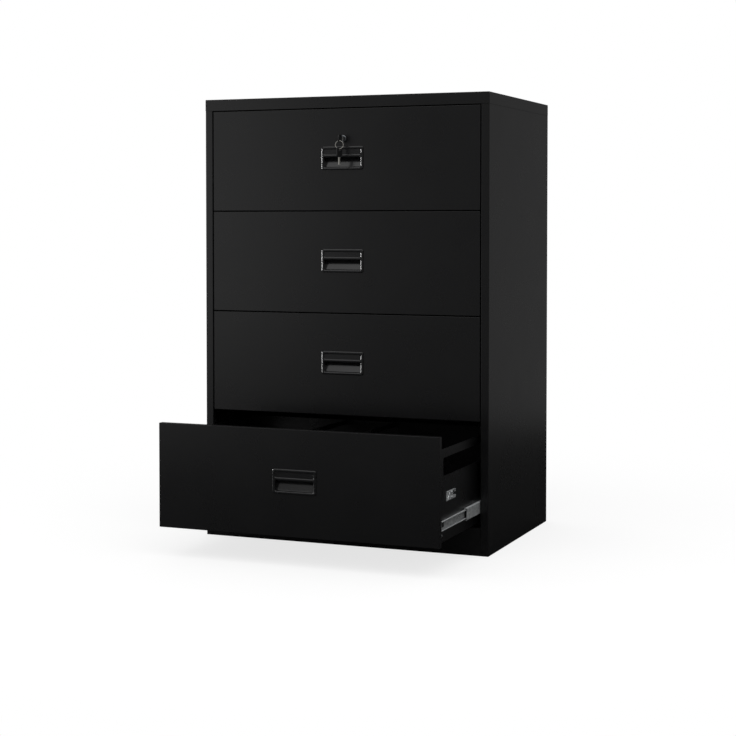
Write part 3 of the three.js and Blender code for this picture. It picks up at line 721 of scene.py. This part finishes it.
# %% Label plate and shell behind the frame
LABEL_PLATE = 0.9  # thickness
PLATE_SIDE, PLATE_EDGE = 1.5, 2  # the plate reaches this far behind the upright and the level bars
SHELL_WALL = 0.3  # gap between the shell and the opening in the front
SHELL_DEPTH = 26
SHELL_SKIN = 1.3  # the shell's foot starts this far behind the cup's
SHELL_ROUND = 1.5  # radius of the shell's rear edges
SHELL_STRAIGHT = 5  # these start so far behind the front
CUP_SILL = 4  # level part of the cup's floor, behind the front


def fuse(piece, other):
    """Joins another closed shape to piece and deletes it."""
    apply(piece, "BOOLEAN", operation="UNION", solver="EXACT", object=other)
    bpy.data.objects.remove(other)


def slide_foot(piece, rear, foot, to):
    """Slides the lower rear edge of a box forward, so that its back slopes."""
    open_mesh(piece, "EDGE")
    at_rear = lambda edge: abs(middle(edge).y - face_low.y - rear) < NEAR
    at_foot = lambda edge: abs(middle(edge).z - handle_middle.z - foot) < NEAR
    pick(piece, "edges", lambda edge: runs_along(edge, 0) and at_rear(edge) and at_foot(edge))
    bpy.ops.transform.translate(value=(0, (to - rear) * MM, 0))
    close_mesh()


plate = box(
    "label_plate",
    from_handle(-HOLLOW_HALF - PLATE_SIDE, BEZEL_BACK - LABEL_PLATE, LABEL_LOW - PLATE_EDGE),
    from_handle(HOLLOW_HALF + PLATE_SIDE, BEZEL_BACK / 2, LABEL_HIGH + PLATE_EDGE),
)
shell = box(
    "shell",
    from_handle(-SHELL_HALF + SHELL_WALL, 2 * BEZEL_BACK, SHELL_LOW + SHELL_WALL),
    from_handle(SHELL_HALF - SHELL_WALL, SHELL_DEPTH, SHELL_HIGH - SHELL_WALL),
)
slide_foot(shell, SHELL_DEPTH, SHELL_LOW + SHELL_WALL, CUP_SILL + SHELL_SKIN)
round_from = handle_middle.y + SHELL_STRAIGHT
round_edges(shell, SHELL_ROUND, lambda edge: middle(edge).y > round_from, segments=3)
fuse(handle, plate)
fuse(handle, shell)
print("with plate and shell:", len(handle.data.polygons), "faces")

# %% Finger cup and the room behind the divider
CUP_DEPTH = 24
CUP_BEND = 3  # radius between the cup's sill and its slope
CUP_STEP = 0.4  # the cup's walls stand this far behind the window's edges
DIVIDER_BACK = 3
CUP_ROOF = 19.65  # top of the room behind the divider
MOULD_EDGE = 0.35  # radius of the edges that are left

cup_half = HOLLOW_HALF + CUP_STEP
cup_floor = CUP_LOW - CUP_STEP
cup_mouth = CUP_HIGH + CUP_STEP


def extrude_faces(step):
    """Extrudes the selected faces by one step."""
    bpy.ops.mesh.extrude_region_move(TRANSFORM_OT_translate={"value": Vector(step) * MM})


def soften(piece, radius, segments, angle):
    """Bevels every edge that is sharper than angle, in degrees."""
    limit = {"limit_method": "ANGLE", "angle_limit": math.radians(angle)}
    apply(piece, "BEVEL", width=radius * MM, segments=segments, **limit)


cup_low = from_handle(-cup_half, DIVIDER_BACK, cup_floor)
cup = box("cup", cup_low, from_handle(cup_half, CUP_DEPTH, CUP_ROOF))
slide_foot(cup, CUP_DEPTH, cup_floor, CUP_SILL)
open_mesh(cup, "FACE")
bpy.ops.mesh.select_all(action="SELECT")
bpy.ops.mesh.bisect(plane_co=from_handle(0, 0, cup_mouth) * MM, plane_no=(0, 0, 1))
bpy.ops.mesh.select_all(action="DESELECT")
mouth_top = handle_middle.z + cup_mouth
forward = facing((0, -1, 0))
pick(cup, "faces", lambda face: forward(face) and middle(face).z < mouth_top)
mouth_depth = DIVIDER_BACK - BEZEL_BACK + CUP_STEP
extrude_faces((0, -mouth_depth, 0))
close_mesh()
merge_flat(cup)
sill_end = from_handle(0, CUP_SILL, cup_floor)
round_edges(cup, CUP_BEND, lambda edge: (middle(edge) - sill_end).length < 10 * NEAR, segments=6)
cut(handle, cup)
merge_flat(handle)
soften(handle, MOULD_EDGE, segments=2, angle=50)
for number in DRAWERS:
    piece = copy_of(handle, f"drawer_{number}_pull", travel[number])
    dress(piece, f"drawer_{number}", "handle_plastic", f"drawer_{number}_handle")
bpy.data.objects.remove(handle)
print("handles:", len(DRAWERS))

# %% [markdown]
# ## Slides
# Each drawer runs on two ball-bearing slides with three members. A member is strip steel, rolled
# to a channel: its edges are turned in to hold the balls. The easiest way to a rolled profile is
# to draw its line vertex by vertex, extrude the line along the slide, round the folds and let
# Solidify give the strip its thickness.

# %% Drawing a line and rolling a member
STRIP = 1.2
ROLL_BEND = 1.6
SLOT_REACH = 4  # of a cutter, to both sides of the web


def trace(name, points):
    """A line through the points, extruded vertex by vertex."""
    bpy.ops.object.select_all(action="DESELECT")
    bpy.ops.mesh.primitive_plane_add(size=MM)
    line = settle(name)
    open_mesh(line, "VERT")
    bpy.ops.mesh.select_all(action="SELECT")
    bpy.ops.mesh.merge(type="CENTER")
    bpy.ops.transform.translate(value=Vector(points[0]) * MM)
    for start, end in zip(points, points[1:]):
        step = Vector(end) - Vector(start)
        bpy.ops.mesh.extrude_vertices_move(TRANSFORM_OT_translate={"value": step * MM})
    close_mesh()
    return line


def rolled_member(node, name, web_outside, curl):
    """A channel of rolled strip for a right-hand CAD node, its edges curled in by curl."""
    low, high = corners(node)
    inset = Vector((STRIP, 0, STRIP)) / 2
    low, high = low + inset, high - inset
    web, tip = (high.x, low.x) if web_outside else (low.x, high.x)
    line = [(tip, high.z), (web, high.z), (web, low.z), (tip, low.z)]
    if curl:
        line = [(tip, high.z - curl), *line, (tip, low.z + curl)]
    member = trace(name, [(x, low.y, z) for x, z in line])
    open_mesh(member, "EDGE")
    bpy.ops.mesh.select_all(action="SELECT")
    extrude_edges((0, high.y - low.y, 0))
    close_mesh()
    round_edges(member, ROLL_BEND)
    apply(member, "SOLIDIFY", thickness=STRIP * MM, offset=0, use_even_offset=True)
    return member


def slot_cutter(x, y, z, length, height, radius):
    """A cutter for a slot with rounded corners through a web, along the slide."""
    reach = Vector((SLOT_REACH, length / 2, height / 2))
    cutter = box("slot", Vector((x, y, z)) - reach, Vector((x, y, z)) + reach)
    round_edges(cutter, radius, lambda edge: runs_along(edge, 0), segments=6)
    return cutter


print("rolling helpers ready")

# %% The three members of a right-hand slide
RACE_CURL = {"outer": 4.4, "middle": 3.6, "inner": 0}
SCREW_SLOT = (13, 5, 2.45)  # length, height and corner radius
RELEASE_SLOT = (16, 14, 2)  # for the release catch of the inner member
RELEASE_PLACE = 25  # from the front end, as the screw slots below
SLOTS = {"outer": (25, 160, 330, 475), "middle": (245,), "inner": (150, 280, 410, 482)}

members = {}
for kind, curl in RACE_CURL.items():
    node = f"drawer_{MASTER}_slide_{kind}_right"
    low, high = corners(node)
    member = rolled_member(node, f"{kind}_member", kind != "inner", curl)
    web = low.x if kind == "inner" else high.x
    slots = [(place, SCREW_SLOT) for place in SLOTS[kind]]
    if kind == "inner":
        slots.append((RELEASE_PLACE, RELEASE_SLOT))
    for place, size in slots:
        cut(member, slot_cutter(web, low.y + place, (low.z + high.z) / 2, *size))
    members[kind] = member
print("members:", {kind: len(member.data.polygons) for kind, member in members.items()})

# %% Slides of all drawers
for number in DRAWERS:
    for kind, member in members.items():
        node = f"drawer_{number}_slide_{kind}"
        shift = corners(f"{node}_right")[0] - corners(f"drawer_{MASTER}_slide_{kind}_right")[0]
        drawer = f"drawer_{number}"
        body = {"outer": "cabinet", "middle": f"{drawer}_runners", "inner": drawer}[kind]
        right = copy_of(member, f"drawer_{number}_{kind}_rail_right", shift)
        left = copy_of(right, f"drawer_{number}_{kind}_rail_left", mirror=True)
        dress(right, body, "zinc_plate", f"{node}_right")
        dress(left, body, "zinc_plate", f"{node}_left")
for member in members.values():
    bpy.data.objects.remove(member)
print("slides:", 2 * len(DRAWERS))

# %% [markdown]
# ## Lugs, hanging frames and screws
# On its right side each tub carries a plated lug that the interlock catches, and inside it a
# painted frame with two hanging rails. They are plain strips, so copies of the CAD nodes with
# broken edges are enough. The screws are modelled: a turned head with a rounded rim and a cross
# recess. One is made, and its copies are joined to one piece for each drawer.

# %% Lugs and hanging frames
EDGE_BREAK = 0.5

for number in DRAWERS:
    drawer = f"drawer_{number}"
    for node, name, slot in (
        (f"{drawer}_interlock_lug", f"{drawer}_catch", "zinc_plate"),
        (f"{drawer}_hanging_frame", f"{drawer}_file_frame", "powder_coat"),
    ):
        dress(rounded_copy(node, name, EDGE_BREAK, segments=2), drawer, slot, node)
print("lugs and file frames:", 2 * len(DRAWERS))

# %% Screws
HEAD_RADIUS = 3.6
HEAD_RISE = 2.2
HEAD_ROUND = 1.5
HEAD_SINK = 0.2  # a head starts this far inside the sheet it sits on
RECESS, RECESS_DEPTH = 0.9, 1.2  # width and depth of the cross recess

lug_low, lug_high = corners(f"drawer_{MASTER}_interlock_lug")
inner_low, inner_high = corners(f"drawer_{MASTER}_slide_inner_right")
inner_middle = (inner_low.z + inner_high.z) / 2


def turned_head(name, radius, sink, rise, rounding, sides, segments):
    """A round head along X, rounded where it ends."""
    head = bar(name, radius, (-sink, 0, 0), (rise, 0, 0), turn=(0, math.pi / 2, 0), sides=sides)
    round_edges(head, rounding, lambda edge: middle(edge).x > rise - NEAR, segments=segments)
    return head


screw = turned_head("screw", HEAD_RADIUS, HEAD_SINK, HEAD_RISE, HEAD_ROUND, sides=24, segments=4)
reach = 0.6 * HEAD_RADIUS
for half_y, half_z in ((reach, RECESS / 2), (RECESS / 2, reach)):
    foot = (HEAD_RISE - RECESS_DEPTH, -half_y, -half_z)
    cut(screw, box("recess", foot, (HEAD_RISE + 1, half_y, half_z)))
print("screw faces:", len(screw.data.polygons))

# %% Screws of all drawers
WALL_SCREW = Vector((0, 47, 26))  # behind the front and above its lower edge
LUG_SCREWS = ((40, 5.5), (40, 19.5))  # behind the lug's front end and above its foot
SCREWED = SLOTS["inner"][:3]  # slots of the inner member that hold a screw

tub_wall = Vector((tub_high.x, face_low.y, face_low.z))
right_places = [tub_wall + WALL_SCREW]
right_places += [Vector((inner_low.x + STRIP, inner_low.y + y, inner_middle)) for y in SCREWED]
lug_places = [Vector((lug_high.x, lug_low.y + y, lug_low.z + z)) for y, z in LUG_SCREWS]


def joined_heads(name, head, on_both_sides, on_right):
    """Copies of a head, joined to one piece. Those for both sides are mirrored to the left."""
    heads = [copy_of(head, "head", place) for place in on_both_sides + on_right]
    heads += [copy_of(made, "head", mirror=True) for made in heads[: len(on_both_sides)]]
    only(heads[0])
    for made in heads:
        made.select_set(True)
    bpy.ops.object.join()
    heads[0].name = name
    return heads[0]


for number in DRAWERS:
    both = [place + travel[number] for place in right_places]
    right = [place + travel[number] for place in lug_places]
    heads = joined_heads(f"drawer_{number}_screws", screw, both, right)
    dress(heads, f"drawer_{number}", "zinc_plate")
bpy.data.objects.remove(screw)
print("screws for each drawer:", 2 * len(right_places) + len(lug_places))

# %% Rivets of the middle members
RIVET_RADIUS = 2.6
RIVET_RISE = 0.6  # the outer member leaves less than a millimetre
RIVET_SINK, RIVET_ROUND = 0.3, 0.5
RIVETS = (22, 83)  # from each end of the member

rivet = turned_head("rivet", RIVET_RADIUS, RIVET_SINK, RIVET_RISE, RIVET_ROUND, sides=20, segments=3)
for number in DRAWERS:
    low, high = corners(f"drawer_{number}_slide_middle_right")
    places = [low.y + y for y in RIVETS] + [high.y - y for y in RIVETS]
    both = [Vector((high.x, y, (low.z + high.z) / 2)) for y in places]
    heads = joined_heads(f"drawer_{number}_rivets", rivet, both, [])
    dress(heads, f"drawer_{number}_runners", "ring_steel")
bpy.data.objects.remove(rivet)
print("rivets for each drawer:", 4 * len(RIVETS))

# %% [markdown]
# ## Lock
# The lock's collar is a turned shape: a rounded rim, a flat face and a bore for the plug.
# Starting from a cylinder, the rim is bevelled, the front face is inset to the bore and pushed
# in, and the rear face is inset to the barrel and pulled out.

# %% Lock collar
COLLAR_RADIUS, BARREL_RADIUS, BORE_RADIUS = 10.8, 9.0, 6.3
COLLAR_RIM = 2.2
COLLAR_GAP = 0.3  # between the collar and the sheet
BORE_STOP = 1  # the bore ends this far before the CAD barrel does

collar_front = Vector((lock.x, barrel_low.y, lock.z))
collar_back = Vector((lock.x, lock.y - COLLAR_GAP, lock.z))
rim_plane = barrel_low.y + NEAR

collar = bar("lock_collar", COLLAR_RADIUS, collar_front, collar_back, sides=64)
round_edges(collar, COLLAR_RIM, lambda edge: middle(edge).y < rim_plane, segments=6)
open_mesh(collar, "FACE")
pick(collar, "faces", lambda face: forward(face) and middle(face).y < rim_plane)
bpy.ops.mesh.inset(thickness=(COLLAR_RADIUS - COLLAR_RIM - BORE_RADIUS) * MM)
extrude_faces((0, barrel_high.y - barrel_low.y - BORE_STOP, 0))
bpy.ops.mesh.select_all(action="DESELECT")
pick(collar, "faces", facing((0, 1, 0)))
bpy.ops.mesh.inset(thickness=(COLLAR_RADIUS - BARREL_RADIUS) * MM)
extrude_faces((0, barrel_high.y - lock.y, 0))
close_mesh()
dress(collar, "drawer_1", "chrome_plate", "lock_barrel")
print("collar faces:", len(collar.data.polygons))

# %% [markdown]
# ## Keys and ring
# A key is a nickel-plated blade with a black nylon head moulded on. The head is a plate with
# well-rounded corners, a shallow panel pressed into both faces, and a hole for the ring. The
# blade has a groove along each side, and the spare one shows the notches that work the lock. Both
# keys are built upright at the origin, and put in their place last.

# %% One key head and one blade
HEAD_THICK, HEAD_CORNER = 3.6, 7
HOLE_RADIUS, HOLE_PLACE = 4.6, 7.5  # of the ring hole, its place from the head's end
PANEL_BORDER, PANEL_DEPTH = 1.5, 0.5  # the panel's wall slopes as far in as it goes down
HEAD_EDGE, BLADE_EDGE = 0.4, 0.15  # radius of the edges
BLADE_THICK, BLADE_WIDTH = 2, 7.6
GROOVE_DEPTH, GROOVE_WIDTH, GROOVE_SIDE = 0.45, 1.6, -1.8


def key_head(name, width, length, hole_side):
    """A head that hangs from z = 0, in the XZ plane, with its ring hole near the top."""
    half = HEAD_THICK / 2
    head = box(name, (-width / 2, -half, -length), (width / 2, half, 0))
    round_edges(head, HEAD_CORNER, lambda edge: runs_along(edge, 1), segments=8)
    open_mesh(head, "FACE")
    pick(head, "faces", lambda face: abs(face.normal.y) > ALIGNED)
    for inwards, down in ((PANEL_BORDER, 0), (PANEL_DEPTH, PANEL_DEPTH)):
        bpy.ops.mesh.inset(thickness=inwards * MM, depth=-down * MM, use_individual=True)
    close_mesh()
    hole = Vector((hole_side, 0, -HOLE_PLACE))
    across = Vector((0, 2 * half, 0))
    cut(head, bar("hole", HOLE_RADIUS, hole - across, hole + across, sides=32))
    soften(head, HEAD_EDGE, segments=3, angle=50)
    return head


def key_blade(name, start, length, notches):
    """A blade from z = start downwards, with a groove along each side and notches in one edge."""
    half = BLADE_THICK / 2
    blade = box(name, (-BLADE_WIDTH / 2, -half, start - length), (BLADE_WIDTH / 2, half, start))
    for side in (-1, 1):
        front, back = sorted((side * half * 2, side * (half - GROOVE_DEPTH)))
        groove_low = (GROOVE_SIDE, front, start - length - 1)
        cut(blade, box("groove", groove_low, (GROOVE_SIDE + GROOVE_WIDTH, back, start + 1)))
    for place, depth in notches:
        notch = box("notch", (-depth, -2 * half, -depth), (depth, 2 * half, depth))
        notch.rotation_euler.y = math.pi / 4
        notch.location = Vector((BLADE_WIDTH / 2, 0, start - place)) * MM
        only(notch)
        cut(blade, settle("notch"))
    soften(blade, BLADE_EDGE, segments=2, angle=40)
    return blade


print("key helpers ready")

# %% Key in the lock
KEY_LENGTH, KEY_HEIGHT = 26, 21
KEY_NECK = 6
KEY_HOLE_DROP = 4.5
KEY_INSERTED = 9.8
MOULDED_IN = 1  # length of a blade that is inside its head

key_low = corners("key")[0]
in_lock = (math.pi / 2, -math.pi / 2, 0)  # from hanging to pointing into the lock


def put(piece, turn, at):
    """Turns a piece about the origin and moves it to its place, in its mesh."""
    piece.rotation_euler = turn
    piece.location = Vector(at) * MM
    only(piece)
    return settle(piece.name)


head = key_head("key_head", KEY_HEIGHT, KEY_LENGTH, -KEY_HOLE_DROP)
blade = key_blade("key_blade", -KEY_LENGTH + MOULDED_IN, KEY_NECK + KEY_INSERTED + MOULDED_IN, ())
for piece, slot, nodes in ((head, "key_plastic", ("key",)), (blade, "ring_steel", ())):
    put(piece, in_lock, (lock.x, key_low.y, lock.z))
    dress(piece, "lock_plug", slot, *nodes)
print("key in the lock from y =", round(key_low.y, 1))

# %% Spare key
SPARE_TURN = math.radians(76)
SPARE_LENGTH, SPARE_WIDTH = 29, 25
SPARE_BLADE = 22
NOTCHES = ((6, 1.2), (9.5, 1.9), (13, 0.9), (16.5, 1.6), (20, 1.1))  # place and depth

spare_low, spare_high = corners("spare_key")
ring_low, ring_high = corners("key_ring")
pivot = (ring_low + ring_high) / 2

head = key_head("spare_key_head", SPARE_WIDTH, SPARE_LENGTH, 0)
blade = key_blade("spare_key_blade", -SPARE_LENGTH + MOULDED_IN, SPARE_BLADE + MOULDED_IN, NOTCHES)
for piece, slot, nodes in ((head, "key_plastic", ("spare_key",)), (blade, "ring_steel", ())):
    put(piece, (0, 0, SPARE_TURN), (pivot.x, pivot.y, spare_high.z))
    dress(piece, "spare_key", slot, *nodes)
print("spare key hangs to z =", round(spare_low.z, 1))

# %% [markdown]
# The ring is a split ring: spring wire wound twice. It is traced as a line of two turns that
# steps sideways by one wire where the turns meet, turned into a curve to give it a round section,
# made a mesh again, and flattened.

# %% Split ring
WIRE = 0.45  # radius
FLAT = 2  # the wire is rolled flat: twice as wide across the ring as along it
STEP_OVER = 8  # the wire steps to the second turn within a quarter of a turn: 2 / 8
RING_TURN = math.radians(24)
RING_STEPS = 48  # for each turn

ring_radius = (ring_high.z - ring_low.z) / 2 - FLAT * WIRE
points = []
for step in range(2 * RING_STEPS + 1):
    angle = 2 * math.pi * step / RING_STEPS
    sideways = WIRE * max(-1, min(1, STEP_OVER * (step / RING_STEPS - 1)))
    points.append((ring_radius * math.cos(angle), sideways, ring_radius * math.sin(angle)))
ring = trace("split_ring", points)
only(ring)
bpy.ops.object.convert(target="CURVE")
ring = bpy.context.object
ring.data.bevel_depth = WIRE * MM
ring.data.bevel_resolution = 3
ring.data.use_fill_caps = True
bpy.ops.object.convert(target="MESH")
ring = bpy.context.object
for vertex in ring.data.vertices:
    spread = math.hypot(vertex.co.x, vertex.co.z) / MM
    flattened = ring_radius + FLAT * (spread - ring_radius)
    vertex.co.x *= flattened / spread
    vertex.co.z *= flattened / spread
ring = put(ring, (0, 0, RING_TURN), pivot)
dress(ring, "key_ring", "ring_steel", "key_ring")
print("ring radius:", round(ring_radius, 2))

# %% [markdown]
# ## What stays as CAD
# The uprights, the back, the interlock bar, the lock rod and the lock plug are plain sheet and
# bar. They keep their CAD shape and get the finish of their slot.

# %% Finish of the CAD nodes that stay
slots = {part["node"]: part["material_slot"] for part in frame["record"]["subparts"]}
kept = [name for name, node in frame["nodes"].items() if not node.hide_render]
for name in kept:
    node = frame["nodes"][name]
    node.data.materials.clear()
    node.data.materials.append(FINISHES[slots[name]])
print("kept CAD nodes:", kept)

# %% [markdown]
# ## Studio
# The cabinet stands on a pale floor against white. What the camera sees of the floor is paint
# that holds the soft shadow, lifted by a little light of its own so that it ends up white. Black
# paint shows what it mirrors more than its own colour, and in the photograph it mirrors a dim
# room. So floor and world answer three kinds of rays in three ways: they light the cabinet at a
# plain level, they look dim in paint and metal, and they are white to the camera and through
# anything clear. The lamps stand out: a card at the left whose soft edge draws the gradient
# across the fronts, and a ceiling lamp for the rest. Two more are linked to a few pieces, because
# they would whiten the flat sheets in views from the side: a narrow lamp at the far left draws
# the bright lines on the bars of the handles, and a lamp overhead lights the upper edges of the
# plated slides.

# %% Floor
FLOOR_RADIUS = 2.8
FADE_START, FADE_END = 0.9, 2.1  # metres from the cabinet's middle
FLOOR_LIFT = 0.755  # strength of the floor's own light


def three_ways(owner, lighting, mirrored, shown):
    """Mixes shaders for light that falls on things, for mirror images, and for the camera."""
    rays = add_node(owner, "LightPath").outputs
    by_mirror = [rays["Is Glossy Ray"], lighting, mirrored]
    bounced = add_node(owner, "MixShader", None, by_mirror).outputs[0]
    direct = [rays["Is Camera Ray"], rays["Is Transmission Ray"]]
    seen = add_node(owner, "Math", {"operation": "MAXIMUM"}, direct).outputs[0]
    return add_node(owner, "MixShader", None, [seen, bounced, shown]).outputs[0]


bpy.ops.object.select_all(action="DESELECT")
bpy.ops.mesh.primitive_circle_add(vertices=96, radius=FLOOR_RADIUS, fill_type="NGON")
floor = settle("studio_floor")
paint, place = start_finish("white_floor_paint")
away = add_node(paint, "VectorMath", {"operation": "LENGTH"}, [place])
fade = add_node(
    paint,
    "MapRange",
    {"interpolation_type": "SMOOTHSTEP"},
    Value=away.outputs["Value"],
    From_Min=FADE_START,
    From_Max=FADE_END,
)
pale = add_node(paint, "BsdfDiffuse", Color=linear("#8c8c8c")).outputs[0]
lift = add_node(paint, "Emission", Strength=FLOOR_LIFT).outputs[0]
near = add_node(paint, "AddShader", None, [pale, lift]).outputs[0]
white = add_node(paint, "Emission", Strength=1.0).outputs[0]
shown = add_node(paint, "MixShader", None, [fade.outputs["Result"], near, white]).outputs[0]
bright = add_node(paint, "BsdfDiffuse", Color=linear("#c4c4c2")).outputs[0]
dim = add_node(paint, "BsdfDiffuse", Color=linear("#2c2c2c")).outputs[0]
add_node(paint, "OutputMaterial", Surface=three_ways(paint, bright, dim, shown))
floor.data.materials.append(paint)
floor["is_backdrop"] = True
print("floor radius:", FLOOR_RADIUS, "m")

# %% World
FILL = 0.8
MIRRORED = 0.13

world = bpy.data.worlds.new("white_studio")
world.use_nodes = True
world.node_tree.nodes.clear()
bpy.context.scene.world = world
skies = [
    add_node(world, "Background", Color=(1, 1, 1, 1), Strength=level).outputs[0]
    for level in (FILL, MIRRORED, 1.0)
]
add_node(world, "OutputWorld", Surface=three_ways(world, *skies))
print("fill:", FILL, "and what paint and metal mirror:", MIRRORED)

# %% Lamps
CABINET_MIDDLE = (0, 0, 0.8)


def soft_lamp(name, at, width, height, power, pieces=()):
    """An area lamp that looks at the cabinet, in metres and watts, for all pieces or for some."""
    lamp = bpy.data.lights.new(name, "AREA")
    lamp.shape = "RECTANGLE"
    lamp.size = width
    lamp.size_y = height
    lamp.energy = power
    stand = bpy.data.objects.new(name, lamp)
    stand.location = at
    towards = Vector(CABINET_MIDDLE) - Vector(at)
    stand.rotation_euler = towards.to_track_quat("-Z", "Y").to_euler()
    bpy.context.scene.collection.objects.link(stand)
    if pieces:
        lit = bpy.data.collections.new(f"lit_by_{name}")
        stand.light_linking.receiver_collection = lit
        for piece in pieces:
            lit.objects.link(piece)


def finished_with(slot):
    """All pieces that have the finish of a slot."""
    name = FINISHES[slot].name
    return [piece for piece in bpy.data.objects if name in getattr(piece.data, "materials", ())]


pulls = [bpy.data.objects[f"drawer_{number}_pull"] for number in DRAWERS]
soft_lamp("left_card", (-3.2, -3.5, 1.1), 3.0, 2.2, 11)
soft_lamp("edge_lamp", (-4.4, -0.85, 0.76), 0.8, 1.5, 180, pulls)
soft_lamp("ceiling", (0.6, -2.5, 4.5), 7.0, 4.0, 92)
soft_lamp("slide_lamp", (1.0, -1.4, 4.2), 1.2, 1.2, 230, finished_with("zinc_plate"))
print("lamps: 4")

# %% [markdown]
# ## Camera
# The photograph was taken from the right, a little below the lid, with a lens of about 80 mm.
# Upright edges stay upright in it, so the camera is nearly level, and the frame is shifted down
# to hold the whole cabinet.

# %% Camera
CAMERA_AT = (1.8683, -4.7018, 0.9554)  # metres
CAMERA_TURN = 22.102  # degrees
CAMERA_DOWN = 2.0
LENS = 79.87
SENSOR = 36
SHIFT_Y = -0.1226  # share of the picture's height

camera = bpy.data.cameras.new("camera")
camera.lens = LENS
camera.sensor_width = SENSOR
camera.shift_y = SHIFT_Y
stand = bpy.data.objects.new("camera", camera)
stand.location = CAMERA_AT
stand.rotation_euler = (math.radians(90 - CAMERA_DOWN), 0, math.radians(CAMERA_TURN))
bpy.context.scene.collection.objects.link(stand)
bpy.context.scene.camera = stand
print("camera at", CAMERA_AT)

# %% The box of the dressed cabinet
low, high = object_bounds()
print("visual box in mm:", [round(side / MM, 1) for side in high - low])
